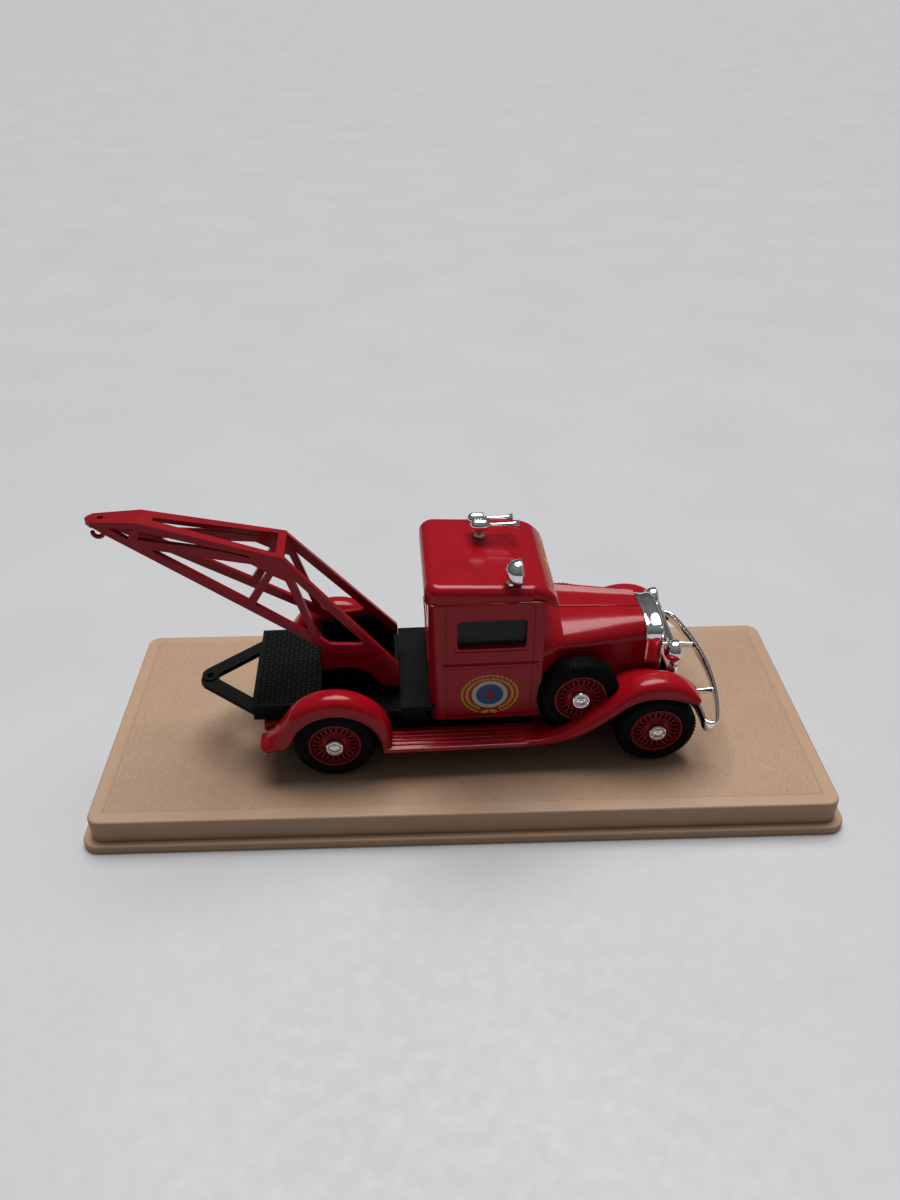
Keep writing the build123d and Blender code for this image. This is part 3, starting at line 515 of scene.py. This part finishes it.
def rim_shape():
    """Red rim: outer ring, gap crossed by laced spokes over a near-black floor of painted shade, and the wide
    hub cone.
    """
    shape = Shape()
    ring = [(RIM_R, -3.0), (RIM_R, -0.05), (5.04, 0.05), (4.9, 0.08), (4.72, 0.02), (4.66, -0.15),
            (4.6, -0.7), (4.5, -1.25)]
    shape.add(lathe(ring, 72))
    # The gap floor takes the near-black rim_shadow finish: painted shade between the spokes.
    gap_shade_floor = [(4.54, -1.2), (4.1, -1.35), (3.0, -1.15), (2.3, -0.8)]
    shape.add(lathe(gap_shade_floor, 72), slot=1)
    cone = [(2.75, -1.1), (2.72, -0.66), (2.62, -0.48), (2.3, -0.28), (2.0, -0.12), (1.86, 0.02), (1.8, 0.42),
            (1.6, 0.47)]
    shape.add(lathe(cone, 72))
    back = [(RIM_R, -3.0), (4.6, -3.4), (2.0, -3.4), (1.5, -3.1), (0.75, -3.1)]
    shape.add(lathe(back, 72))
    spokes_each_way = 22
    for i in range(spokes_each_way):
        for lean in (-1, 1):
            middle_turn = 2 * math.pi * i / spokes_each_way
            inner_turn = middle_turn + lean * 0.16
            outer_turn = middle_turn - lean * 0.10
            start = Vector((2.4 * math.cos(inner_turn), -0.46, 2.4 * math.sin(inner_turn)))
            end = Vector((4.74 * math.cos(outer_turn), -0.42, 4.74 * math.sin(outer_turn)))
            path = [start.lerp(end, k / 3) for k in range(4)]
            shape.add(tube(path, [0.19, 0.19, 0.18, 0.19], 6))
    return shape


def hubcap_shape():
    """Stepped chrome cap with a darker dished centre."""
    rim = [(1.78, 0.30), (1.76, 0.62), (1.68, 0.80), (1.55, 0.90), (1.38, 0.90), (1.26, 0.80), (1.22, 0.70)]
    dish = [(1.23, 0.71), (1.12, 0.68), (0.94, 0.70)]
    boss = [(0.95, 0.69), (0.90, 0.84), (0.76, 0.93), (0.55, 0.97), (0.50, 1.05), (0.36, 1.12), (0.001, 1.15)]
    return Shape().add(lathe(rim, 48)).add(lathe(dish, 48), slot=1).add(lathe(boss, 48))


def wheel_place(x, y, z, side, lean=0.0):
    """Matrix that stands a wheel at (x, y, z) with its outer side facing outwards."""
    turn = Matrix.Rotation(0.0 if side > 0 else math.pi, 4, "Z")
    return Matrix.Translation((x, side * y, z)) @ turn @ Matrix.Rotation(lean, 4, "X")


def add_wheels():
    sets = (
        ("front", WHEELBASE, TYRE_OUTER_Y, AXLE_Z, 0.0, FRONT),
        ("rear", 0.0, TYRE_OUTER_Y, AXLE_Z, 0.0, REAR),
        ("spare", SPARE_X, SPARE_Y + 0.3, SPARE_Z, SPARE_LEAN, TRUCK),
    )
    for name, x, y, z, lean, body in sets:
        for label, side in SIDES:
            place = wheel_place(x, y, z, side, lean)
            rim_place = place @ Matrix.Translation((0, -0.3, 0))
            end = f"{name}_{{}}_{label}"
            rubber = tyre_shape()
            blocks = tread_blocks()
            rubber.add((blocks.points, blocks.faces))
            make_piece(end.format("tyre_moulded"), rubber, [tyre_rubber], body,
                       [end.format("tyre")], place=place)
            make_piece(end.format("rim_spoked"), rim_shape(), [rim_red, rim_shadow], body,
                       [end.format("rim")], place=rim_place)
            make_piece(end.format("hubcap_turned"), hubcap_shape(), [chrome, steel], body,
                       [end.format("hubcap")], place=rim_place)


# ---------------------------------------------------------------- wings and running boards
def wing_section(upper, lower, inner_y, sink, inner_corner, corner, skin):
    """Closed cross-section of a wing: outside skin and the inside skin under it."""
    drop = lower - upper
    depth = max(drop.length, 0.3)
    down = drop.normalized()
    corner = min(corner, depth * 0.85)

    def point(y, d, fall=0.0):
        base = upper + down * d
        return (base.x - fall * 0.5, y, base.y - fall)

    def fall_at(y):
        return sink * max(0.0, 13.6 - y)

    outside, inside = [], []
    start = inner_y
    if inner_corner:
        rise = min(inner_corner, depth * 0.8)
        outside.append(point(inner_y, rise + 0.3))
        inside.append(point(inner_y + skin, rise + 0.3))
        small = max(rise - skin, 0.05)
        for k in range(6):
            turn = math.pi / 2 * k / 6
            outside.append(point(inner_y + rise * (1 - math.cos(turn)), rise * (1 - math.sin(turn))))
            inside.append(point(inner_y + rise - small * math.cos(turn), rise - small * math.sin(turn)))
        start = inner_y + rise
    flat_end = WING_Y - corner
    for k in range(9):
        y = start + (flat_end - start) * k / 8
        outside.append(point(y, 0.0, fall_at(y)))
        inside.append(point(max(y, start + skin), skin, fall_at(y)))
    for k in range(1, 7):
        turn = math.pi / 2 * k / 6
        outside.append(point(flat_end + corner * math.sin(turn), corner * (1 - math.cos(turn))))
        small = max(corner - skin, 0.05)
        inside.append(point(flat_end + small * math.sin(turn), corner - small * math.cos(turn)))
    outside.append(point(WING_Y, corner + (depth - corner) * 0.6))
    outside.append(point(WING_Y + 0.12, depth - 0.25))
    outside.append(point(WING_Y + 0.12, depth - 0.05))
    inside.append(point(WING_Y - skin, corner + (depth - corner) * 0.6))
    inside.append(point(WING_Y - skin, depth - 0.25))
    inside.append(point(WING_Y - 0.1, depth + 0.02))
    return outside + inside[::-1]


def wing_form(upper, lower, inner_ys, sinks, inner_corner=0.0, corner=2.2, skin=0.55):
    """Wing whose sections run along the upper and lower (x, z) curves."""
    rows = []
    for u, l, y, sink in zip(upper, lower, inner_ys, sinks):
        rows.append(wing_section(u, l, y, sink, inner_corner, corner, skin))
    return grid(rows, close_columns=True, cap_ends=True)


def front_wing():
    """Front wing, narrow along the running board and reaching inwards round the wheel."""
    count = 60
    nose_inner_y = 7.3
    crown = [(37.0, 7.3), (40.6, 7.55), (44.9, 9.05), (49.8, 12.5), (53.4, 15.4), (55.5, 17.4),
             (58.2, 19.2), (61.8, 19.95), (65.4, 19.45), (68.4, 17.75), (70.3, 15.6)]
    arch = [(37.0, 6.35), (41.5, 6.75), (46.0, 7.9), (50.2, 10.3), (53.8, 13.2), (56.0, 15.0),
            (58.7, 16.35), (62.0, 16.75), (65.6, 16.15), (68.3, 15.35), (69.7, 14.85)]
    upper = smooth_curve(crown, count)
    lower = smooth_curve(arch, count)
    inner_ys, sinks = [], []
    for u in upper:
        reach = blend_step(u.x, 53.5, 57.5)
        inner_ys.append(WING_INNER_Y + (nose_inner_y - WING_INNER_Y) * reach)
        sinks.append(0.66 * reach)
    return wing_form(upper, lower, inner_ys, sinks)


def rear_wing():
    """Rear wing, round over the wheel with a short tail behind it."""
    count = 60
    crown = arc(0.2, 8.6, 10.9, range(-8, 153, 16)) + [(-11.3, 11.2), (-12.7, 9.75), (-14.1, 8.75)]
    arch = arc(0.3, 7.0, 9.0, range(-1, 160, 16)) + [(-9.3, 8.6), (-11.0, 8.0), (-12.9, 7.7)]
    upper = smooth_curve(crown, count)
    lower = smooth_curve(arch, count)
    return wing_form(upper, lower, [WING_INNER_Y] * count, [0.0] * count, inner_corner=2.5)


def plate(outline, y0, y1):
    """Flat plate whose (x, z) outline is swept from y0 to y1."""
    rows = [[(x, y, z) for x, z in outline] for y in (y0, y1)]
    return grid(rows, close_columns=True, cap_ends=True)


def running_board():
    """Board with a rolled edge and four raised ribs."""
    section = [(WING_INNER_Y - 0.2, 6.4), (17.6, 6.4), (18.1, 6.25), (18.42, 6.35), (18.42, 6.75),
               (18.3, 7.05), (18.0, 7.2), (WING_INNER_Y - 0.2, 7.2)]
    rows = [[(x, y, z) for y, z in section] for x in (9.4, 11, 20, 30, 36, 37.3)]
    shape = Shape().add(grid(rows, close_columns=True, cap_ends=True))
    for i in range(4):
        y = 13.7 + 1.15 * i
        shape.add(capsule((10.9, y, 7.2), (36.6, y, 7.2), 0.27, 10))
    return shape


def spare_well_shade_cup():
    """Cup under the wing that holds the spare wheel, drawn near-black as painted shade."""
    rows = []
    for y in (10.3, 10.35, 15.55, 15.6):
        radius = 8.35 if 10.32 < y < 15.58 else 8.2
        row = []
        for k in range(25):
            turn = math.radians(188 + 150 * k / 24)
            row.append((SPARE_X + radius * math.cos(turn), y, SPARE_Z + radius * math.sin(turn)))
        rows.append(row)
    return grid(rows)


def add_wings():
    """Wings with running boards, then the floor, wheel walls and spare wheel cups between them."""
    wings = Shape().add(front_wing()).add(rear_wing())
    board = running_board()
    wings.add((board.points, board.faces))
    wings.mirrored()
    make_piece("wing_pressings", wings, [red_paint], TRUCK, ["wing_casting"], sharp=40)
    inner = Shape()
    wheel_wall = arc(0.2, 8.6, 8.5, range(-6, 150, 6)) + [(-9.0, 7.3)]
    inner.add(plate(wheel_wall, 12.72, 13.1))
    # The cup takes the near-black base_metal finish: painted shade standing in for the shadowed red well.
    inner.add(spare_well_shade_cup(), slot=1)
    inner.mirrored()
    floor_slabs = (
        ((9.4, -12.6, 6.4), (55.0, 12.6, 7.18), 0.1, 1),
        ((-13.4, -6.5, 6.4), (70.0, 6.5, 7.18), 0.1, 1),
        ((64.9, -9.9, 10.4), (67.9, 9.9, 12.15), 0.25, 2),
        ((65.0, -7.6, 6.4), (68.0, 7.6, 12.15), 0.3, 2),
        ((-13.6, -12.9, 8.6), (-10.4, 12.9, 10.4), 0.25, 2),
    )
    for low, high, radius, segments in floor_slabs:
        inner.add(rounded_box(low, high, radius, segments))
    make_piece("wing_floor", inner, [red_paint, base_metal], TRUCK, sharp=40)


# ---------------------------------------------------------------- bed details
def deck_tread():
    """Raised lozenges of the chequered rear deck, set slantwise by turns."""
    shape = Shape()
    low_x, high_x, half_y = -14.9, -2.9, 11.9
    step = 0.98
    columns = int((high_x - low_x) / step)
    rows = int(2 * half_y / step)
    long_half, short_half = 0.58, 0.20
    for i in range(columns):
        for j in range(rows):
            centre = Vector((low_x + (i + 0.6) * step, -half_y + (j + 0.65) * step))
            turn = math.radians(45 if (i + j) % 2 == 0 else -45)
            along = Vector((math.cos(turn), math.sin(turn)))
            across = Vector((-along.y, along.x))
            corners = [centre - along * long_half, centre - across * short_half, centre + along * long_half,
                       centre + across * short_half]
            base = [(p.x, p.y, DECK_Z - 0.02) for p in corners]
            inset = [centre + (p - centre) * 0.5 for p in corners]
            top = [(p.x, p.y, DECK_Z + 0.2) for p in inset]
            faces = [[0, 1, 5, 4], [1, 2, 6, 5], [2, 3, 7, 6], [3, 0, 4, 7], [4, 5, 6, 7]]
            shape.add((base + top, faces))
    return shape


def panel_lip():
    """Front edge of the panel behind the cab, shaped round the cab's rear corners."""
    corner = arc(21.2, 10.6, 2.66, [130 + 50 * k / 8 for k in range(9)])
    half = [(17.7, 13.15), (19.3, 13.15)] + corner
    outline = half + [(x, -y) for x, y in reversed(half)]
    rows = [[(x, y, z) for x, y in outline] for z in (12.0, 13.08)]
    return Shape().add(grid(rows, close_columns=True, cap_ends=True))


# ---------------------------------------------------------------- cab details
def bonnet_y(x):
    """Half the bonnet's width at x."""
    return BONNET_REAR_Y - BONNET_TAPER * (x - BONNET_REAR_X)


def bonnet_details():
    """Centre and side hinges, and the louvres with a thin frame round them."""
    shape = Shape()
    louvres = 14
    frame_ends = (47.8, 59.2)
    shape.add(capsule((43.6, 0, 26.55), (61.0, 0, 25.82), 0.16, 8))
    for side in (-1, 1):
        shape.add(capsule((44.4, side * 9.55, 23.55), (61.0, side * 6.95, 23.05), 0.15, 8))
        for k in range(louvres):
            x = 48.6 + 0.72 * k
            y = side * (bonnet_y(x) + 0.02)
            shape.add(rounded_box((x - 0.16, y - 0.14, 15.6), (x + 0.16, y + 0.14, 20.1), 0.08, 1))
        for z in (20.6, 14.9):
            along = (frame_ends[0], sum(frame_ends) / 2, frame_ends[1])
            path = [(x, side * (bonnet_y(x) + 0.03), z) for x in along]
            shape.add(tube(path, 0.11, 6))
        for x in frame_ends:
            y = side * (bonnet_y(x) + 0.03)
            shape.add(tube([(x, y, 15.0), (x, y, 20.7)], 0.11, 6))
    return shape


def cab_details():
    """Belt mouldings and the drip rail."""
    shape = Shape()
    for side in (-1, 1):
        y = side * (CAB_Y + 0.02)
        for z in (22.15, 23.05):
            shape.add(capsule((20.8, y, z), (39.4, y, z), 0.13, 8))
        shape.add(capsule((23.2, y, 25.9), (37.4, y, 25.9), 0.10, 8))
        rail = [(19.0, side * 13.45, 36.85), (30.0, side * 13.55, 36.9), (39.0, side * 13.5, 36.8),
                (41.6, side * 13.15, 35.6)]
        shape.add(tube(smooth_curve(rail, 16), 0.22, 8))
    return shape


def on_front(y, z):
    """Point just in front of the cab's face at (y, z)."""
    start = ORIGIN + Vector((60.0, y, z)) / 1000
    hit = CAB_SKIN.ray_cast(start, Vector((-1.0, 0.0, 0.0)))[0]
    return (hit - ORIGIN) * 1000 + Vector((0.04, 0.0, 0.03))


def visor_stripe():
    """Printed double gold stripe across the visor with a plain diamond in the middle."""
    shape = Shape()
    gap, reach = 1.5, 8.6
    for low, high in ((37.30, 37.52), (36.55, 36.77)):
        for side in (-1, 1):
            rows = []
            for k in range(25):
                y = side * (gap + (reach - gap) * k / 24)
                rows.append([on_front(y, z) for z in (low, (low + high) / 2, high)])
            shape.add(grid(rows))
    rows = []
    for k in range(-6, 7):
        half = 0.75 * (1 - abs(k) / 6) + 0.01
        rows.append([on_front(k * 0.2, 37.03 + half * share) for share in (-1, -0.5, 0, 0.5, 1)])
    shape.add(grid(rows))
    return shape


def disc(cx, cz, radius, y, wide=1.0, segments=48):
    """Flat disc in the door's plane."""
    ring = []
    for k in range(segments):
        turn = 2 * math.pi * k / segments
        ring.append((cx + wide * radius * math.cos(turn), y, cz + radius * math.sin(turn)))
    return ring, [list(range(segments))]


def band(cx, cz, inner, outer, y, wide=1.0, segments=48):
    """Flat ring in the door's plane."""
    rows = []
    for k in range(segments):
        turn = 2 * math.pi * k / segments
        rows.append([(cx + wide * r * math.cos(turn), y, cz + r * math.sin(turn)) for r in (inner, outer)])
    return grid(rows, close_rows=True)


def leaf(cx, cz, turn, length, width, y):
    """Small pointed leaf in the door's plane."""
    points = []
    for u, v in ((-0.5, 0.0), (-0.2, 0.5), (0.2, 0.45), (0.5, 0.0), (0.2, -0.45), (-0.2, -0.5)):
        a, b = u * length, v * width
        points.append((cx + a * math.cos(turn) - b * math.sin(turn), y,
                       cz + a * math.sin(turn) + b * math.cos(turn)))
    return points, [[0, 1, 2, 3, 4, 5]]


def door_roundels():
    """Plain printed roundel: blue disc with a red diamond, pale ring, gold leaf border."""
    cx, cz = ROUNDEL_X, ROUNDEL_Z
    shape = Shape()
    y = CAB_Y + 0.03
    for k in range(30):
        turn = math.radians(-62 + 304 * k / 29)
        facing = 1 if math.cos(turn) > 0 else -1
        for ring, length, lean in ((3.95, 1.3, 0.5), (4.8, 1.2, -0.35)):
            x = cx + 1.12 * ring * math.cos(turn)
            z = cz + 0.95 * ring * math.sin(turn)
            shape.add(leaf(x, z, turn + math.pi / 2 + lean * facing, length, 0.42, y))
    shape.add(band(cx, cz, 2.5, 3.3, y + 0.012, 1.05), slot=1)
    shape.add(disc(cx, cz, 2.51, y + 0.012, 1.05), slot=2)
    shape.add(leaf(cx, cz, math.pi / 2, 2.6, 1.5, y + 0.03), slot=3)
    for side in (-1, 1):
        shape.add(leaf(cx + side * 0.85, cz - 4.25, -side * 0.25, 1.9, 0.9, y + 0.015))
    return shape.mirrored()


# ---------------------------------------------------------------- lamps, bumper, radiator and horns
def lamp_shell(x, y, z, radius, length):
    """Bullet shell with a bright ring round the glass."""
    profile = []
    for k in range(13):
        turn = math.pi / 2 * k / 12
        profile.append((max(0.001, radius * math.sin(turn)), -length * math.cos(turn)))
    profile += [(radius + 0.10, 0.03), (radius + 0.11, 0.30), (radius + 0.05, 0.52), (radius - 0.10, 0.62),
                (radius - 0.28, 0.58), (radius - 0.34, 0.30), (radius - 0.34, 0.02), (0.001, -0.02)]
    points, faces = lathe(profile, 40)
    return [(x + py, y + px, z + pz) for px, py, pz in points], faces


def turned_post(x, y, steps):
    """Upright post whose radius changes with height."""
    points, faces = lathe([(radius, z) for radius, z in steps], 24)
    return [(x + px, y + pz, py) for px, py, pz in points], faces


def foot_z(node):
    """Height of a node's lowest point, in truck millimetres."""
    return (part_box(node)[0][2] - ORIGIN.z) * 1000


def add_lamps():
    """Two head lamps on turned posts, and the spot lamp on the roof."""
    for label, side in SIDES:
        node = f"headlight_{label}"
        y = side * HEADLIGHT_Y
        bottom = foot_z(node)
        shell = Shape().add(lamp_shell(HEADLIGHT_X, y, HEADLIGHT_Z, HEADLIGHT_R, 2.15))
        steps = [(0.001, bottom), (0.92, bottom), (0.92, 17.2), (0.80, 17.5), (0.45, 17.7), (0.45, 17.95),
                 (0.72, 18.1), (0.80, 18.35), (0.72, 18.6), (0.45, 18.75), (0.45, 19.4), (0.001, 19.4)]
        shell.add(turned_post(HEADLIGHT_X + 0.1, y, steps))
        make_piece(f"headlight_turned_{label}", shell, [chrome], TRUCK, [node])
    bottom = foot_z("roof_spotlight")
    spot = Shape().add(lamp_shell(SPOT_X, SPOT_Y, SPOT_Z, SPOT_R, 2.4))
    steps = [(0.001, bottom), (0.92, bottom), (0.9, bottom + 0.35), (0.6, bottom + 0.6), (0.6, bottom + 1.2),
             (0.001, bottom + 1.2)]
    spot.add(turned_post(33.6, -11.2, steps))
    make_piece("roof_spotlight_turned", spot, [chrome], TRUCK, ["roof_spotlight"])


def bumper_arc(first, centre_x, count):
    """Bumper arc in plan through first, (centre_x, 0) and first's mirror image."""
    rise = centre_x - first[0]
    radius = (first[1] ** 2 + rise ** 2) / (2 * rise)
    reach = math.asin(first[1] / radius)
    points = []
    for k in range(count):
        turn = reach * (1 - 2 * k / (count - 1))
        x = centre_x - radius + radius * math.cos(turn)
        points.append(Vector((x, radius * math.sin(turn), BUMPER_Z)))
    return points


def bumper_shape():
    """Bowed oval bar whose ends turn back to the two arms."""
    curl = [(74.6, 16.6), (74.15, 17.75), (73.4, 18.55), (72.5, 18.65), (71.75, 18.0)]
    tail = [(71.75, 15.0), (71.6, 12.0), (70.95, 9.8), (70.2, 8.4)]
    start = smooth_curve([(x, y, BUMPER_Z) for x, y in reversed(curl + tail)], 26)
    end = [Vector((p.x, -p.y, p.z)) for p in reversed(start)]
    path = start[:-1] + bumper_arc(curl[0], BUMPER_FRONT_X, 44) + end[1:]
    shape = Shape()
    shape.add(bar(path, 0.46, 1.28))
    for side in (-1, 1):
        arm = smooth_curve([(68.2, side * 7.9, 9.5), (70.2, side * 8.05, 9.5), (72.6, side * 8.0, 9.5),
                            (76.3, side * 7.6, 9.5)], 14)
        shape.add(bar(arm, 0.42, 0.68))
    return shape


def bar(path, half_thick, half_high):
    """Upright strip with rounded faces along a level path."""
    outline = []
    for k in range(16):
        turn = 2 * math.pi * k / 16
        across, up = math.cos(turn), math.sin(turn)
        outline.append((half_thick * math.copysign(abs(across) ** 0.75, across),
                        half_high * math.copysign(abs(up) ** 0.55, up)))
    rows = []
    for i, point in enumerate(path):
        ahead = path[min(i + 1, len(path) - 1)] - path[max(i - 1, 0)]
        ahead.normalize()
        side = ahead.cross(Vector((0, 0, 1)))
        rows.append([point + side * across + Vector((0, 0, up)) for across, up in outline])
    return grid(rows, close_columns=True, cap_ends=True)


def radiator_arch():
    """Rounded chrome surround swept over the radiator's top and upper sides."""
    outline = [(7.17, 17.0), (7.17, 19.0), (7.17, 21.2), (7.1, 22.6), (6.8, 23.9), (6.1, 24.8),
               (4.9, 25.35), (3.0, 25.75), (0.0, 25.92)]
    half = smooth_curve(outline, 40)
    arch = half + [Vector((-p.x, p.y)) for p in reversed(half[:-1])]
    section = [(61.24, -0.42), (61.26, -0.12), (61.5, 0.0), (61.9, 0.03), (62.5, -0.10), (63.1, -0.12),
               (63.7, -0.02), (64.2, 0.05), (64.65, 0.0), (64.83, -0.2), (64.83, -0.5), (64.7, -0.78),
               (64.15, -0.80), (64.1, -0.42)]
    rows = []
    for i, point in enumerate(arch):
        along = arch[min(i + 1, len(arch) - 1)] - arch[max(i - 1, 0)]
        out = Vector((along.y, -along.x)).normalized()
        if out.dot(point - Vector((0.0, 18.0))) < 0:
            out = -out
        rows.append([(x, point.x + out.x * d, point.y + out.y * d) for x, d in section])
    return grid(rows, close_columns=True, cap_ends=True)


def radiator_infill():
    """Smooth panel inside the surround, above the grille bars."""
    return Shape().add(rounded_box((64.1, -6.4, 22.25), (64.7, 6.4, 24.8), 0.2, 2))


def grille_bars():
    """Upright bright bars over the dark radiator core, with a sill below."""
    shape = Shape()
    shape.add(rounded_box((64.5, -6.35, 12.3), (64.78, 6.35, 22.3), 0.05, 1), slot=1)
    for i in range(21):
        y = -6.0 + 0.6 * i
        shape.add(rounded_box((64.70, y - 0.12, 12.6), (64.95, y + 0.12, 22.3), 0.08, 1))
    shape.add(rounded_box((64.6, -6.4, 12.25), (65.0, 6.4, 12.75), 0.12, 2))
    for side in (-1, 1):
        shape.add(rounded_box((64.6, side * 6.4 - 0.15, 12.3), (65.0, side * 6.4 + 0.15, 17.2), 0.12, 2))
    return shape


def horn_shape(back, bell, y):
    """Horn: domed canister with two grooves, slim trumpet and flared bell."""
    profile = [(0.001, 0.0), (0.45, 0.06), (0.82, 0.24), (1.08, 0.55), (1.22, 0.95), (1.25, 1.35),
               (1.25, 1.62), (1.17, 1.70), (1.25, 1.78), (1.25, 2.22), (1.17, 2.30), (1.25, 2.38),
               (1.25, 2.95), (1.15, 3.18), (0.85, 3.36), (0.58, 3.48), (0.46, 3.9), (0.40, 4.6), (0.42, 6.4)]
    length = bell - back
    profile += [(0.52, length - 1.3), (0.66, length - 0.6), (0.88, length - 0.1), (0.93, length - 0.02),
                (0.84, length - 0.02), (0.5, length - 0.6), (0.001, length - 0.9)]
    points, faces = lathe(profile, 36)
    return [(back + py, y + px, HORN_Z + pz) for px, py, pz in points], faces


def add_horns():
    """Two horns, each as long as its CAD box."""
    for name, y in HORN_YS.items():
        back, bell = ((end[0] - ORIGIN.x) * 1000 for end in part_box(name))
        horn = Shape().add(horn_shape(back, bell, y))
        make_piece(f"{name}_turned", horn, [chrome], TRUCK, [name])


# ---------------------------------------------------------------- assembly
add_wheels()
add_wings()
add_lamps()
add_horns()
make_piece("bumper_bright", bumper_shape(), [chrome], TRUCK, ["front_bumper"], sharp=60)
radiator = radiator_infill().add(radiator_arch())
make_piece("radiator_surround", radiator, [chrome], TRUCK, ["radiator_shell"], sharp=60)
make_piece("grille_bars", grille_bars(), [chrome, base_metal], TRUCK, ["radiator_grille"])
make_piece("deck_tread", deck_tread(), [black_plastic], TRUCK, sharp=20)
make_piece("panel_lip", panel_lip(), [black_plastic], TRUCK)
make_piece("bonnet_details", bonnet_details(), [red_paint], TRUCK)
make_piece("cab_details", cab_details(), [red_paint], TRUCK)
make_piece("visor_stripe", visor_stripe(), [gold_print], TRUCK)
make_piece("door_roundels", door_roundels(), [gold_print, white_print, blue_print, rim_red], TRUCK)


# ---------------------------------------------------------------- floor, light and camera
def add_floor():
    """Pale floor that reaches far past the camera's view."""
    reach = 8.0
    corners = [(-reach, -reach, 0), (reach, -reach, 0), (reach, reach, 0), (-reach, reach, 0)]
    mesh = bpy.data.meshes.new("floor")
    mesh.from_pydata(corners, [], [[0, 1, 2, 3]])
    material, tree, shader = new_material("floor_white")
    where = position(tree)
    cloud = remap(tree, noise(tree, where, 40.0, 5.0), 0.0, 1.0)
    colour = mix_colour(tree, cloud, (0.515, 0.515, 0.525), (0.545, 0.545, 0.555))
    tree.links.new(colour, shader.inputs["Base Color"])
    wear = remap(tree, noise(tree, where, 3.0, 4.0), 0.5, 0.65)
    tree.links.new(wear, shader.inputs["Roughness"])
    bump(tree, shader, noise(tree, where, 1.0, 3.0), 0.02)
    mesh.materials.append(material)
    floor = bpy.data.objects.new("floor", mesh)
    bpy.context.scene.collection.objects.link(floor)


def add_sky_light():
    """Broad soft light from overhead, a little behind the truck."""
    light = bpy.data.lights.new("soft_box", "SUN")
    light.energy = 3.1
    light.angle = math.radians(42)
    lamp = bpy.data.objects.new("soft_box", light)
    lamp.rotation_euler = Vector((0.04, 0.36, 1.0)).to_track_quat("Z", "Y").to_euler()
    bpy.context.scene.collection.objects.link(lamp)


def add_world():
    """Dim room, a little brighter overhead."""
    world = bpy.data.worlds.new("studio")
    world.use_nodes = True
    tree = world.node_tree
    background = tree.nodes["Background"]
    where = tree.nodes.new("ShaderNodeTexCoord")
    split = tree.nodes.new("ShaderNodeSeparateXYZ")
    tree.links.new(where.outputs["Generated"], split.inputs[0])
    height = remap(tree, split.outputs[2], 0.0, 1.0, 0.1, 0.9)
    sky = mix_colour(tree, height, (0.085, 0.087, 0.09), (0.23, 0.235, 0.24))
    tree.links.new(sky, background.inputs["Color"])
    background.inputs["Strength"].default_value = 1.0
    bpy.context.scene.world = world


def add_camera():
    """Camera above and in front of the right-hand side."""
    camera = bpy.data.cameras.new("camera")
    camera.sensor_width = 36.0
    camera.lens = 29.6
    camera.clip_start = 0.01
    eye = bpy.data.objects.new("camera", camera)
    yaw, pitch, roll = math.radians(3.80), math.radians(34.39), math.radians(-0.106)
    ahead = Vector((math.sin(yaw) * math.cos(pitch), math.cos(yaw) * math.cos(pitch), -math.sin(pitch)))
    right = ahead.cross(Vector((0, 0, 1))).normalized()
    up = right.cross(ahead)
    turned_right = right * math.cos(roll) + up * math.sin(roll)
    turned_up = up * math.cos(roll) - right * math.sin(roll)
    frame_axes = Matrix((turned_right, turned_up, -ahead)).transposed().to_4x4()
    eye.matrix_world = Matrix.Translation((-0.0128, -0.1589, 0.1445)) @ frame_axes
    bpy.context.scene.collection.objects.link(eye)
    bpy.context.scene.camera = eye


add_floor()
add_world()
add_sky_light()
add_camera()

view = bpy.context.scene.view_settings
view.view_transform = "Standard"
view.gamma = 0.86
view.exposure = 0.06

bpy.context.view_layer.update()
